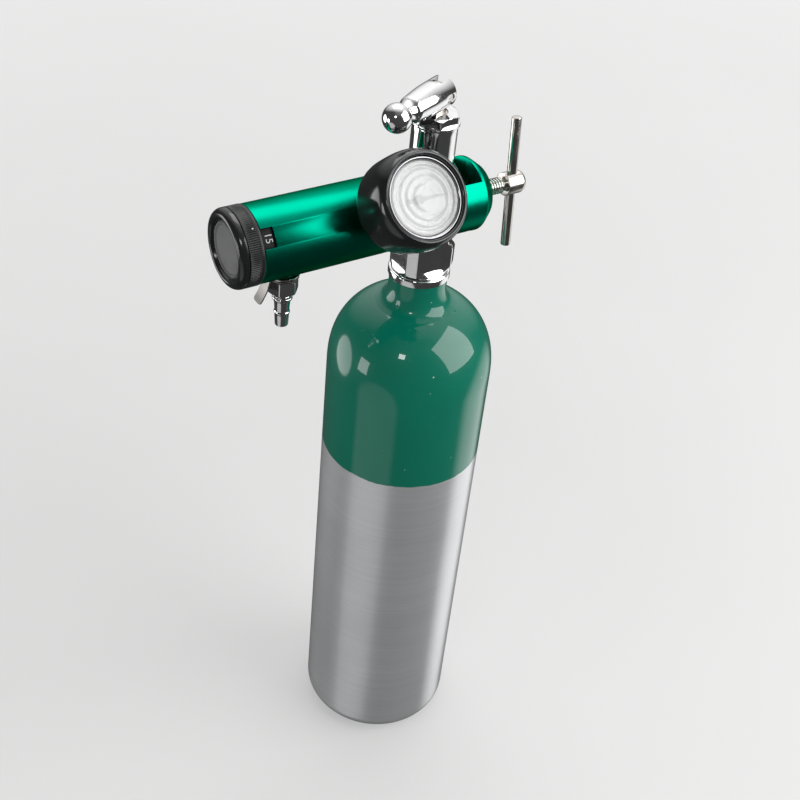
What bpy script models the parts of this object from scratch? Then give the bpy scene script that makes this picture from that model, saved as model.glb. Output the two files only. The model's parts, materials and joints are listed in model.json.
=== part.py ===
"""Portable oxygen cylinder with a toggle post valve and a yoke regulator.

Metres, +Z up. The origin is the centre of the cylinder's flat base. The regulator lies along X, with its
flow knob towards -X and its yoke screw towards +X, and its gauge faces -Y and upwards.
"""

import math

import bmesh
import bpy
from mathutils import Euler, Matrix, Vector

# Driving dimensions of the cylinder
CYLINDER_RADIUS = 0.0406
CYLINDER_HEIGHT = 0.295
WALL = 0.0055
BASE_THICKNESS = 0.008
BASE_EDGE_RADIUS = 0.009
SHOULDER_HEIGHT = 0.040
SHOULDER_POWER = 2.35
NECK_RADIUS = 0.0138
NECK_HEIGHT = 0.0125
THREAD_RADIUS = 0.0093
THREAD_LENGTH = 0.022

# Driving dimensions of the valve, with heights counted from its seat on the neck
FLANGE_RADIUS = 0.0146
FLANGE_HEIGHT = 0.0034
POST_HALF_WIDTH = 0.0111
POST_FRONT = -0.0123
POST_BACK = 0.011
BODY_BACK = 0.0139
POST_CHAMFER = 0.004
POST_RADIUS = 0.0102
POST_TOP = 0.0766
OUTLET_HEIGHT = 0.0372
SEAT_HEIGHT = 0.034
CHAMBER_RADIUS = 0.0069
PACKING_THREAD_RADIUS = 0.0080
PACKING_THREAD_BOTTOM = 0.065
NUT_RIM_RADIUS = 0.0109
NUT_RIM_HEIGHT = 0.0012
NUT_TOP = 0.082
NUT_HEX_RADIUS = 0.0106
STEM_TOP_RADIUS = 0.0048
PIVOT_HEIGHT = 0.090
INDEX_RADIUS = 0.0143
INDEX_ANGLE = math.radians(18)
INDEX_PIN_RADIUS = 0.0020
GAS_PORT_RADIUS = 0.0036
RELIEF_HEIGHT = 0.013

# Driving dimensions of the toggle lever
LEVER_HEADING = math.radians(205)
LEVER_REACH = 0.032
LEVER_BALL_RADIUS = 0.0063
LEVER_BARREL_RADIUS = 0.0070
LEVER_END = 0.0033
LEVER_SLOT = 0.0056
LEVER_PIN_RADIUS = 0.0016

# Driving dimensions of the regulator, with places counted along X from the valve's axis
REGULATOR_RADIUS = 0.0173
KNOB_END = -0.0891
INLET_FACE = -0.0151
SLOT_HALF_WIDTH = 0.0122
SLOT_END = 0.0205
YOKE_CONE_START = 0.0220
YOKE_END = 0.0278
YOKE_END_RADIUS = 0.0127
WINDOW_DEPTH = 0.0055
WINDOW_ANGLE = math.radians(53.3)
WINDOW_HALF_WIDTH = 0.0044
SCREW_RADIUS = 0.0039
SCREW_HEAD_RADIUS = 0.0055
SCREW_HEAD_START = 0.0425
SCREW_HEAD_END = 0.0530
BAR_PLACE = 0.0472
BAR_RADIUS = 0.00235
BAR_HALF_LENGTH = 0.0322
BAR_TILT = math.radians(5.2)
OUTLET_PLACE = -0.072
RELIEF_PLACE = -0.076
RELIEF_ANGLE = math.radians(40)
TAB_HALF_WIDTH = 0.0032
TAB_THICKNESS = 0.0006
ORIFICE_COUNT = 11
DETENT_COUNT = 12
DETENT_RADIUS = 0.0105

# Driving dimensions of the gauge, with distances counted outwards from the regulator's axis
GAUGE_PLACE = -0.0278
GAUGE_TILT = math.radians(37)
GAUGE_BACK = 0.025
GAUGE_CASE_RADIUS = 0.0186
BOOT_RADIUS = 0.0214
BOOT_LIP_RADIUS = 0.0181
BOOT_FRONT = 0.0487
LENS_RADIUS = 0.0158
DIAL_DISTANCE = 0.0395
SECTOR_OFFSET = 0.009

GAP = 0.0003
ROUND = 32
COARSE = 20
SHARP_ANGLE = math.radians(35)

VALVE_Z = CYLINDER_HEIGHT + GAP
REGULATOR_Z = VALVE_Z + OUTLET_HEIGHT

UPRIGHT = Euler((0, 0, 0))
ALONG_X = Euler((0, math.pi / 2, 0))
ALONG_Y = Euler((-math.pi / 2, 0, 0))
DOWN = Euler((math.pi, 0, 0))
GAUGE_AIM = Euler((math.pi / 2 - GAUGE_TILT, 0, 0))
LEVER_AIM = Euler((0, math.pi / 2, LEVER_HEADING))
RELIEF_AIM = Euler((math.pi + RELIEF_ANGLE, 0, 0))

FINISHES = {
    "painted_aluminium": ((0.010, 0.165, 0.085), 0.18, 0.0),
    "chrome": ((0.78, 0.79, 0.80), 0.08, 1.0),
    "nickel_steel": ((0.56, 0.54, 0.50), 0.24, 1.0),
    "steel": ((0.50, 0.50, 0.51), 0.30, 1.0),
    "brass": ((0.72, 0.50, 0.20), 0.25, 1.0),
    "sintered_bronze": ((0.40, 0.25, 0.12), 0.75, 1.0),
    "green_anodised": ((0.000, 0.230, 0.110), 0.28, 0.9),
    "black_rubber": ((0.012, 0.012, 0.014), 0.30, 0.0),
    "black_plastic": ((0.020, 0.020, 0.021), 0.40, 0.0),
    "clear_plastic": ((0.90, 0.93, 0.94), 0.05, 0.0),
    "white_enamel": ((0.85, 0.85, 0.84), 0.35, 0.0),
    "nylon": ((0.80, 0.78, 0.70), 0.45, 0.0),
}


def clear_scene():
    for obj in list(bpy.data.objects):
        bpy.data.objects.remove(obj, do_unlink=True)


def finish(name):
    """The named material, made the first time that it is asked for."""
    found = bpy.data.materials.get(name)
    if found:
        return found
    colour, roughness, metallic = FINISHES[name]
    made = bpy.data.materials.new(name)
    made.use_nodes = True
    shader = made.node_tree.nodes["Principled BSDF"]
    shader.inputs["Base Color"].default_value = (*colour, 1)
    shader.inputs["Roughness"].default_value = roughness
    shader.inputs["Metallic"].default_value = metallic
    return made


def add_object(name, bm, finish_name, at=(0, 0, 0), aim=UPRIGHT):
    """An object from a bmesh, placed at a point, with its own +Z turned by aim."""
    bmesh.ops.recalc_face_normals(bm, faces=bm.faces)
    mesh = bpy.data.meshes.new(name)
    bm.to_mesh(mesh)
    bm.free()
    mesh.shade_smooth()
    mesh.set_sharp_from_angle(angle=SHARP_ANGLE)
    if finish_name:
        mesh.materials.append(finish(finish_name))
    obj = bpy.data.objects.new(name, mesh)
    obj.location = at
    obj.rotation_euler = aim
    bpy.context.scene.collection.objects.link(obj)
    return obj


def world_matrix(obj):
    if obj.parent is None:
        return obj.matrix_basis.copy()
    return world_matrix(obj.parent) @ obj.matrix_parent_inverse @ obj.matrix_basis


def attach(parent, *children):
    """Parents each child without moving it."""
    for child in children:
        child.parent = parent
        child.matrix_parent_inverse = world_matrix(parent).inverted()


def joint_axis(name, at, aim=UPRIGHT):
    """An empty on a joint's axis, which its moving pieces are parented to."""
    empty = bpy.data.objects.new(name, None)
    empty.location = at
    empty.rotation_euler = aim
    empty.empty_display_size = 0.02
    bpy.context.scene.collection.objects.link(empty)
    return empty


def combine(target, tool, operation):
    """Applies a tool to a target with a Boolean modifier, and keeps the tool as a hidden helper."""
    modifier = target.modifiers.new(tool.name, "BOOLEAN")
    modifier.operation = operation
    modifier.solver = "EXACT"
    modifier.object = tool
    tool.hide_render = True
    tool.display_type = "WIRE"
    attach(target, tool)


def cut(target, *tools):
    for tool in tools:
        combine(target, tool, "DIFFERENCE")


def weld(target, *tools):
    for tool in tools:
        combine(target, tool, "UNION")


def turned(profile, steps=ROUND, ring=False):
    """A profile of (radius, height) points turned about Z. A ring's profile closes on itself."""
    bm = bmesh.new()
    points = [bm.verts.new((radius, 0, height)) for radius, height in profile]
    pairs = list(zip(points, points[1:]))
    if ring:
        pairs.append((points[-1], points[0]))
    edges = [bm.edges.new(pair) for pair in pairs]
    bmesh.ops.spin(
        bm,
        geom=points + edges,
        axis=(0, 0, 1),
        cent=(0, 0, 0),
        angle=2 * math.pi,
        steps=steps,
        use_merge=True,
    )
    bmesh.ops.remove_doubles(bm, verts=bm.verts, dist=1e-6)
    return bm


def rod(radius, start, end, steps=COARSE):
    return turned([(0, start), (radius, start), (radius, end), (0, end)], steps)


def tube(inner, outer, start, end, steps=COARSE):
    return turned([(inner, start), (outer, start), (outer, end), (inner, end)], steps, ring=True)


def torus(radius, section, height, steps=24, sides=8):
    """An O-ring: a round section turned at a radius, centred at a height."""
    profile = []
    for side in range(sides):
        angle = 2 * math.pi * side / sides
        profile.append((radius + section * math.cos(angle), height + section * math.sin(angle)))
    return turned(profile, steps, ring=True)


def box(low, high):
    bm = bmesh.new()
    size = Vector(high) - Vector(low)
    middle = (Vector(high) + Vector(low)) / 2
    bmesh.ops.create_cube(bm, size=1, matrix=Matrix.Translation(middle) @ Matrix.Diagonal((*size, 1)))
    return bm


def hexagon(corner_radius, start, end, turn=0.0):
    """A hexagonal prism along Z."""
    bm = bmesh.new()
    place = Matrix.Translation((0, 0, (start + end) / 2)) @ Matrix.Rotation(turn, 4, "Z")
    bmesh.ops.create_cone(
        bm,
        cap_ends=True,
        segments=6,
        radius1=corner_radius,
        radius2=corner_radius,
        depth=end - start,
        matrix=place,
    )
    return bm


def loft(sections):
    """A closed solid through loops of equal point count, listed from bottom to top."""
    bm = bmesh.new()
    loops = [[bm.verts.new(point) for point in section] for section in sections]
    for lower, upper in zip(loops, loops[1:]):
        for index in range(len(lower)):
            following = (index + 1) % len(lower)
            bm.faces.new((lower[index], lower[following], upper[following], upper[index]))
    bm.faces.new(loops[0])
    bm.faces.new(loops[-1])
    return bm


def bent_strip(path, half_widths, thickness):
    """A strip of sheet along a path in the XZ plane, with its own half width at each point."""
    sections = []
    for index, (point, half) in enumerate(zip(path, half_widths)):
        before = Vector(path[max(index - 1, 0)])
        after = Vector(path[min(index + 1, len(path) - 1)])
        along = (after - before).normalized()
        across = Vector((-along.y, along.x)) * thickness / 2
        inner = Vector(point) - across
        outer = Vector(point) + across
        corners = ((inner, -half), (inner, half), (outer, half), (outer, -half))
        sections.append([(place.x, side, place.y) for place, side in corners])
    return loft(sections)


def chamfered_section(front, back, half_width, chamfer, height):
    """An eight-sided outline: a rectangle with its four corners cut off."""
    points = []
    for x, y, x_cut, y_cut in (
        (front, -half_width, chamfer, 0),
        (back, -half_width, -chamfer, 0),
        (back, -half_width, 0, chamfer),
        (back, half_width, 0, -chamfer),
        (back, half_width, -chamfer, 0),
        (front, half_width, chamfer, 0),
        (front, half_width, 0, -chamfer),
        (front, -half_width, 0, chamfer),
    ):
        points.append((x + x_cut, y + y_cut, height))
    return points


def arc(centre, radius, start, end, count):
    """Points of a circle's arc in the (radius, height) plane, its angles in degrees."""
    points = []
    for index in range(count + 1):
        angle = math.radians(start + (end - start) * index / count)
        points.append((centre[0] + radius * math.cos(angle), centre[1] + radius * math.sin(angle)))
    return points


def wire(name, points, radius, finish_name, sides=1):
    """A round wire through points, with filled ends."""
    curve = bpy.data.curves.new(name, "CURVE")
    curve.dimensions = "3D"
    curve.bevel_depth = radius
    curve.bevel_resolution = sides
    curve.use_fill_caps = True
    spline = curve.splines.new("POLY")
    spline.points.add(len(points) - 1)
    for target, point in zip(spline.points, points):
        target.co = (*point, 1)
    curve.materials.append(finish(finish_name))
    obj = bpy.data.objects.new(name, curve)
    bpy.context.scene.collection.objects.link(obj)
    return obj


def coil(radius, start, end, turns, points_per_turn):
    count = turns * points_per_turn
    points = []
    for index in range(count + 1):
        angle = 2 * math.pi * index / points_per_turn
        height = start + (end - start) * index / count
        points.append((radius * math.cos(angle), radius * math.sin(angle), height))
    return points


def shoulder(radius, centre_height, height, start, end, count):
    """The shoulder's curve, fuller than an ellipse, between two heights above its centre."""
    points = []
    for index in range(count + 1):
        rise = start + (end - start) * index / count
        share = 1 - (rise / height) ** SHOULDER_POWER
        points.append((radius * share ** (1 / SHOULDER_POWER), centre_height + rise))
    return points


# The cylinder


def make_cylinder():
    neck_foot = CYLINDER_HEIGHT - NECK_HEIGHT
    centre = neck_foot - SHOULDER_HEIGHT
    top_rise = SHOULDER_HEIGHT * 0.945
    inner_radius = CYLINDER_RADIUS - WALL
    bore = THREAD_RADIUS + GAP
    gland_radius = 0.0122
    gland_depth = 0.0022
    inner_centre = centre - 0.002
    profile = [(0, 0), (CYLINDER_RADIUS - BASE_EDGE_RADIUS, 0)]
    edge_centre = (CYLINDER_RADIUS - BASE_EDGE_RADIUS, BASE_EDGE_RADIUS)
    profile += arc(edge_centre, BASE_EDGE_RADIUS, -67.5, 0, 3)
    profile += shoulder(CYLINDER_RADIUS, centre, SHOULDER_HEIGHT, 0, top_rise, 10)
    profile += [
        (NECK_RADIUS + 0.0016, neck_foot + 0.0006),
        (NECK_RADIUS + 0.0003, neck_foot + 0.0032),
        (NECK_RADIUS, CYLINDER_HEIGHT - 0.0006),
        (NECK_RADIUS - 0.0006, CYLINDER_HEIGHT),
        (gland_radius, CYLINDER_HEIGHT),
        (gland_radius, CYLINDER_HEIGHT - gland_depth),
        (bore, CYLINDER_HEIGHT - gland_depth),
        (bore, neck_foot - 0.012),
    ]
    inner = shoulder(inner_radius, inner_centre, SHOULDER_HEIGHT - WALL, 0, 0.030, 6)
    profile += reversed(inner)
    profile += [
        (inner_radius, BASE_THICKNESS + 0.006),
        (inner_radius - 0.006, BASE_THICKNESS),
        (0, BASE_THICKNESS),
    ]
    add_object("cylinder_shell", turned(profile, 48), "painted_aluminium")
    ring_place = (0, 0, CYLINDER_HEIGHT)
    add_object("neck_o_ring", torus(0.0109, 0.0009, -0.0011), "black_rubber", ring_place)


# The valve


def make_valve_body():
    at = (0, 0, VALVE_Z)
    round_parts = [
        (0, -THREAD_LENGTH),
        (THREAD_RADIUS - 0.0008, -THREAD_LENGTH),
        (THREAD_RADIUS, -THREAD_LENGTH + 0.0008),
        (THREAD_RADIUS, 0),
        (FLANGE_RADIUS - 0.0006, 0),
        (FLANGE_RADIUS, 0.0006),
        (FLANGE_RADIUS, FLANGE_HEIGHT - 0.0008),
        (FLANGE_RADIUS - 0.0008, FLANGE_HEIGHT),
        (POST_RADIUS, FLANGE_HEIGHT + 0.0012),
        (POST_RADIUS, POST_TOP),
        (0, POST_TOP),
    ]
    body = add_object("valve_body", turned(round_parts), "chrome", at)
    foot = FLANGE_HEIGHT - 0.0008
    block = loft(
        [
            chamfered_section(POST_FRONT + 0.001, BODY_BACK - 0.001, POST_HALF_WIDTH - 0.0006, 0.0045, foot),
            chamfered_section(POST_FRONT, BODY_BACK, POST_HALF_WIDTH, POST_CHAMFER, foot + 0.0025),
            chamfered_section(POST_FRONT, BODY_BACK, POST_HALF_WIDTH, POST_CHAMFER, 0.0150),
            chamfered_section(POST_FRONT, POST_BACK, POST_HALF_WIDTH, POST_CHAMFER, 0.0190),
            chamfered_section(POST_FRONT, POST_BACK, POST_HALF_WIDTH, POST_CHAMFER, 0.0555),
            chamfered_section(-0.0095, 0.0095, 0.0095, 0.0045, 0.0590),
        ]
    )
    weld(body, add_object("valve_block", block, None, at))
    bores = [
        (0, -THREAD_LENGTH - 0.001),
        (0.0029, -THREAD_LENGTH - 0.001),
        (0.0029, -THREAD_LENGTH + 0.006),
        (0.0016, -THREAD_LENGTH + 0.007),
        (0.0016, SEAT_HEIGHT),
        (CHAMBER_RADIUS, SEAT_HEIGHT),
        (CHAMBER_RADIUS, PACKING_THREAD_BOTTOM - GAP),
        (PACKING_THREAD_RADIUS + GAP, PACKING_THREAD_BOTTOM - GAP),
        (PACKING_THREAD_RADIUS + GAP, POST_TOP + 0.001),
        (0, POST_TOP + 0.001),
    ]
    port_place = (0, 0, REGULATOR_Z)
    relief_place = (0, 0, VALVE_Z + RELIEF_HEIGHT)
    relief_bore = [
        (0, 0),
        (0.0018, 0),
        (0.0018, 0.0045),
        (0.0045, 0.0045),
        (0.0045, 0.0150),
        (0, 0.0150),
    ]
    dimple = [(0, POST_BACK - 0.0022), (0.0046, POST_BACK + 0.0005), (0, POST_BACK + 0.0005)]
    cut(
        body,
        add_object("valve_bores", turned(bores, COARSE), None, at),
        add_object("gas_port", rod(GAS_PORT_RADIUS, POST_FRONT - 0.001, -0.0045), None, port_place, ALONG_X),
        add_object("relief_bore", turned(relief_bore, COARSE), None, relief_place, ALONG_Y),
        add_object("post_dimple", turned(dimple, COARSE), None, port_place, ALONG_X),
    )
    for number, side in enumerate((-1, 1), 1):
        hole = rod(INDEX_PIN_RADIUS + 0.0002, POST_FRONT - 0.001, POST_FRONT + 0.0055, 16)
        cut(body, add_object(f"index_hole_{number}", hole, None, index_place(side), ALONG_X))


def index_place(side):
    """The axis of an index pin, where it crosses the plane X = 0."""
    across = side * INDEX_RADIUS * math.sin(INDEX_ANGLE)
    below = INDEX_RADIUS * math.cos(INDEX_ANGLE)
    return (0, across, REGULATOR_Z - below)


def make_valve_fittings():
    at = (0, 0, VALVE_Z)
    relief_place = (0, 0, VALVE_Z + RELIEF_HEIGHT)
    add_object("debris_tube", tube(0.0015, 0.0026, -0.055, -THREAD_LENGTH + 0.0056, 16), "brass", at)
    add_object("burst_disc", rod(0.0042, 0.0048, 0.0054), "brass", relief_place, ALONG_Y)
    plug_profile = [
        (0.0014, 0.0057),
        (0.0042, 0.0057),
        (0.0042, POST_HALF_WIDTH + GAP),
        (0.0056, POST_HALF_WIDTH + GAP),
        (0.0056, 0.0122),
        (0.0014, 0.0122),
    ]
    plug = add_object("safety_plug", turned(plug_profile, COARSE, True), "brass", relief_place, ALONG_Y)
    head = add_object("safety_plug_head", hexagon(0.0055, 0.0120, 0.0158), None, relief_place, ALONG_Y)
    weld(plug, head)
    cut(plug, add_object("safety_plug_bore", rod(0.0014, 0.0110, 0.0170, 12), None, relief_place, ALONG_Y))
    skirt = [
        (0.0051, PACKING_THREAD_BOTTOM),
        (PACKING_THREAD_RADIUS, PACKING_THREAD_BOTTOM),
        (PACKING_THREAD_RADIUS, POST_TOP + GAP),
        (NUT_RIM_RADIUS, POST_TOP + GAP),
        (NUT_RIM_RADIUS, POST_TOP + GAP + NUT_RIM_HEIGHT),
        (0.0090, POST_TOP + GAP + NUT_RIM_HEIGHT + 0.0005),
        (0.0090, NUT_TOP - 0.0001),
        (0.0051, NUT_TOP - 0.0001),
    ]
    nut = add_object("packing_nut", turned(skirt, ROUND, True), "chrome", at)
    flats = hexagon(NUT_HEX_RADIUS, POST_TOP + 0.0010, NUT_TOP, math.radians(10))
    weld(nut, add_object("packing_nut_flats", flats, None, at))
    cut(nut, add_object("packing_nut_bore", rod(STEM_TOP_RADIUS + GAP, 0.0600, 0.0900, COARSE), None, at))
    add_object("packing_washer", tube(0.0045, 0.0066, 0.0606, 0.0647), "nylon", at)
    add_object("stem_o_ring", torus(0.00556, 0.0010, 0.0593), "black_rubber", at)


def make_stem():
    at = (0, 0, VALVE_Z)
    axis = joint_axis("valve_stem_axis", at)
    profile = [
        (0, 0.0549),
        (0.0066, 0.0549),
        (0.0066, 0.0580),
        (0.0042, 0.0580),
        (0.0042, 0.0646),
        (STEM_TOP_RADIUS, 0.0652),
        (STEM_TOP_RADIUS, 0.0960),
        (0, 0.0960),
    ]
    stem = add_object("valve_stem", turned(profile, 24), "nickel_steel", at)
    blade = add_object("stem_blade", box((-0.0042, -0.0012, 0.0485), (0.0042, 0.0012, 0.0556)), None, at)
    weld(stem, blade)
    turned_flat = Euler((0, 0, LEVER_HEADING))
    flat = LEVER_SLOT / 2 - GAP
    for side in (-1, 1):
        low = (-0.008, min(side * flat, side * 0.009), NUT_TOP - GAP)
        high = (0.008, max(side * flat, side * 0.009), 0.099)
        cut(stem, add_object(f"stem_flat_{side + 2}", box(low, high), None, at, turned_flat))
    outline = [(-0.010, 0.045), (0.010, 0.045)]
    outline += arc((0, PIVOT_HEIGHT), STEM_TOP_RADIUS, 0, 180, 12)
    sections = [[(across, end, height) for across, height in outline] for end in (0.010, -0.010)]
    combine(stem, add_object("stem_outline", loft(sections), None, at, turned_flat), "INTERSECT")
    pin_hole = rod(LEVER_PIN_RADIUS + GAP, -0.008, 0.008, 12)
    hole_aim = Euler((-math.pi / 2, 0, LEVER_HEADING))
    cut(stem, add_object("stem_pin_hole", pin_hole, None, (0, 0, VALVE_Z + PIVOT_HEIGHT), hole_aim))
    attach(axis, stem)

    carrier = joint_axis("seat_plug_axis", at)
    plug_profile = [
        (0, SEAT_HEIGHT + 0.0032),
        (0.0026, SEAT_HEIGHT + 0.0032),
        (0.0026, SEAT_HEIGHT + 0.0016),
        (0.0034, SEAT_HEIGHT + 0.0016),
        (0.0034, 0.0392),
        (0.0066, 0.0400),
        (0.0066, 0.0526),
        (0, 0.0526),
    ]
    plug = add_object("seat_plug", turned(plug_profile, COARSE), "brass", at)
    cut(plug, add_object("seat_plug_slot", box((-0.0046, -0.0015, 0.0458), (0.0046, 0.0015, 0.054)), None, at))
    disc = rod(0.0023, SEAT_HEIGHT + GAP, SEAT_HEIGHT + 0.0029, 16)
    seat = add_object("valve_seat_disc", disc, "nylon", at)
    attach(carrier, plug, seat)
    attach(axis, carrier)
    return axis


def make_lever(stem_axis):
    at = (0, 0, VALVE_Z + PIVOT_HEIGHT)
    axis = joint_axis("lever_axis", at, Euler((-math.pi / 2, 0, LEVER_HEADING)))
    neck = LEVER_REACH - LEVER_BALL_RADIUS
    profile = [
        (0, -LEVER_END),
        (LEVER_BARREL_RADIUS, -LEVER_END),
        (LEVER_BARREL_RADIUS, 0.0090),
        (0.0061, neck - 0.0062),
        (0.0058, neck - 0.0035),
        (0.0044, neck - 0.0015),
    ]
    profile += arc((0, LEVER_REACH), LEVER_BALL_RADIUS, -48, 78, 8)
    profile.append((0, LEVER_REACH + LEVER_BALL_RADIUS))
    lever = add_object("toggle_lever", turned(profile, 24), "chrome", at, LEVER_AIM)
    slot_floor = STEM_TOP_RADIUS + GAP
    slot = box((-0.010, -LEVER_SLOT / 2, -0.012), (0.010, LEVER_SLOT / 2, slot_floor))
    hole_aim = Euler((-math.pi / 2, 0, LEVER_HEADING))
    pin_hole = rod(LEVER_PIN_RADIUS + GAP, -0.009, 0.009, 12)
    cut(
        lever,
        add_object("lever_slot", slot, None, at, LEVER_AIM),
        add_object("lever_pin_hole", pin_hole, None, at, hole_aim),
    )
    pin = add_object("lever_pin", rod(LEVER_PIN_RADIUS, -0.0066, 0.0066, 12), "steel", at, hole_aim)
    attach(axis, lever, pin)
    attach(stem_axis, axis)


# The regulator


def make_regulator_body():
    at = (0, 0, REGULATOR_Z)
    profile = [
        (0.0146, -0.0660),
        (0.0146, -0.0826),
        (0.0164, -0.0826),
        (0.0164, KNOB_END),
        (REGULATOR_RADIUS - 0.0002, KNOB_END),
        (REGULATOR_RADIUS, KNOB_END + 0.0003),
        (REGULATOR_RADIUS, YOKE_CONE_START),
        (YOKE_END_RADIUS + 0.0004, YOKE_END - 0.0003),
        (YOKE_END_RADIUS, YOKE_END),
        (SCREW_RADIUS + GAP, YOKE_END),
        (SCREW_RADIUS + GAP, 0.0000),
        (0.0045, 0.0000),
        (0.0045, -0.0240),
        (0.0030, -0.0240),
        (0.0030, -0.0310),
        (0.0008, -0.0310),
        (0.0008, -0.0330),
        (0.0044, -0.0330),
        (0.0044, -0.0460),
        (0.0112, -0.0460),
        (0.0112, -0.0560),
        (0.0131, -0.0560),
        (0.0131, -0.0660),
    ]
    body = add_object("regulator_body", turned(profile, 40, True), "green_anodised", at, ALONG_X)
    slot = box((INLET_FACE, -SLOT_HALF_WIDTH, -0.020), (SLOT_END, SLOT_HALF_WIDTH, 0.020))
    window_aim = Euler((WINDOW_ANGLE, 0, 0))
    window_low = (KNOB_END - 0.002, -WINDOW_HALF_WIDTH, 0.010)
    window_high = (KNOB_END + WINDOW_DEPTH, WINDOW_HALF_WIDTH, 0.020)
    gauge_port = [
        (0, 0.0005),
        (0.0013, 0.0005),
        (0.0013, 0.0090),
        (0.0046, 0.0090),
        (0.0046, 0.0200),
        (0, 0.0200),
    ]
    cut(
        body,
        add_object("post_slot", slot, None, at),
        add_object("number_window", box(window_low, window_high), None, at, window_aim),
        add_object("gauge_port", turned(gauge_port, COARSE), None, gauge_place(0), GAUGE_AIM),
        add_object("outlet_port", rod(0.0042, 0.010, 0.020), None, outlet_place(OUTLET_PLACE), DOWN),
        add_object("relief_port", rod(0.0035, 0.010, 0.020), None, outlet_place(RELIEF_PLACE), RELIEF_AIM),
        add_object("spring_vent", rod(0.0010, 0.008, 0.020, 12), None, outlet_place(-0.051), ALONG_Y),
    )
    for number, side in enumerate((-1, 1), 1):
        hole = rod(INDEX_PIN_RADIUS + 0.0001, -0.0212, INLET_FACE + 0.001, 16)
        cut(body, add_object(f"pin_socket_{number}", hole, None, index_place(side), ALONG_X))
    return body


def gauge_place(distance):
    """A point on the gauge's axis, at a distance from the regulator's axis."""
    outwards = Vector((0, -math.cos(GAUGE_TILT), math.sin(GAUGE_TILT)))
    return Vector((GAUGE_PLACE, 0, REGULATOR_Z)) + distance * outwards


def outlet_place(along):
    return (along, 0, REGULATOR_Z)


def make_inlet():
    at = (0, 0, REGULATOR_Z)
    nipple_profile = [
        (0.0015, -0.0112),
        (0.0032, -0.0112),
        (0.0032, INLET_FACE),
        (0.0042, INLET_FACE - 0.0002),
        (0.0042, -0.0237),
        (0.0028, -0.0237),
        (0.0028, -0.0190),
        (0.0015, -0.0190),
    ]
    pieces = [
        add_object("inlet_nipple", turned(nipple_profile, COARSE, True), "brass", at, ALONG_X),
        add_object("inlet_filter", rod(0.0025, -0.0236, -0.0193, 16), "sintered_bronze", at, ALONG_X),
        add_object("yoke_washer", tube(0.0036, 0.0078, INLET_FACE + GAP, -0.0126), "brass", at, ALONG_X),
    ]
    for number, side in enumerate((-1, 1), 1):
        pin_profile = [
            (0, -0.0210),
            (INDEX_PIN_RADIUS, -0.0210),
            (INDEX_PIN_RADIUS, -0.0097),
            (INDEX_PIN_RADIUS - 0.0006, -0.0091),
            (0, -0.0091),
        ]
        pin = turned(pin_profile, 16)
        pieces.append(add_object(f"index_pin_{number}", pin, "steel", index_place(side), ALONG_X))
    return pieces


def make_yoke_screw(regulator_axis):
    at = (0, 0, REGULATOR_Z)
    tip_axis = joint_axis("screw_tip_axis", at, ALONG_X)
    screw_axis = joint_axis("yoke_screw_axis", at, ALONG_X)
    tip_profile = [
        (0, POST_BACK - 0.0016),
        (0.0034, POST_BACK + 0.0009),
        (0.0036, POST_BACK + 0.0016),
        (0.0036, 0.0152),
        (0.0025, 0.0152),
        (0.0025, 0.0128),
        (0, 0.0128),
    ]
    tip = add_object("screw_tip", turned(tip_profile, COARSE), "steel", at, ALONG_X)
    screw_profile = [
        (0, 0.0131),
        (0.0022, 0.0131),
        (0.0022, 0.0155),
        (SCREW_RADIUS - 0.0006, 0.0155),
        (SCREW_RADIUS, 0.0163),
        (SCREW_RADIUS, SCREW_HEAD_START - 0.0012),
        (0.0030, SCREW_HEAD_START - 0.0008),
        (0.0030, SCREW_HEAD_START),
        (SCREW_HEAD_RADIUS - 0.0004, SCREW_HEAD_START),
        (SCREW_HEAD_RADIUS, SCREW_HEAD_START + 0.0004),
        (SCREW_HEAD_RADIUS, SCREW_HEAD_END - 0.0020),
        (0.0045, SCREW_HEAD_END - 0.0005),
        (0.0030, SCREW_HEAD_END),
        (0, SCREW_HEAD_END),
    ]
    screw = add_object("yoke_screw", turned(screw_profile, 24), "nickel_steel", at, ALONG_X)
    bar_aim = Euler((-BAR_TILT, 0, 0))
    bar_place = (BAR_PLACE, 0, REGULATOR_Z)
    cut(screw, add_object("bar_hole", rod(BAR_RADIUS + 0.0001, -0.01, 0.01, 16), None, bar_place, bar_aim))
    bar_profile = [
        (0, -BAR_HALF_LENGTH),
        (BAR_RADIUS - 0.0005, -BAR_HALF_LENGTH),
        (BAR_RADIUS, -BAR_HALF_LENGTH + 0.0005),
        (BAR_RADIUS, BAR_HALF_LENGTH - 0.0005),
        (BAR_RADIUS - 0.0005, BAR_HALF_LENGTH),
        (0, BAR_HALF_LENGTH),
    ]
    bar = add_object("t_bar", turned(bar_profile, 16), "nickel_steel", bar_place, bar_aim)
    attach(screw_axis, screw, bar)
    attach(tip_axis, tip, screw_axis)
    attach(regulator_axis, tip_axis)


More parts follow.
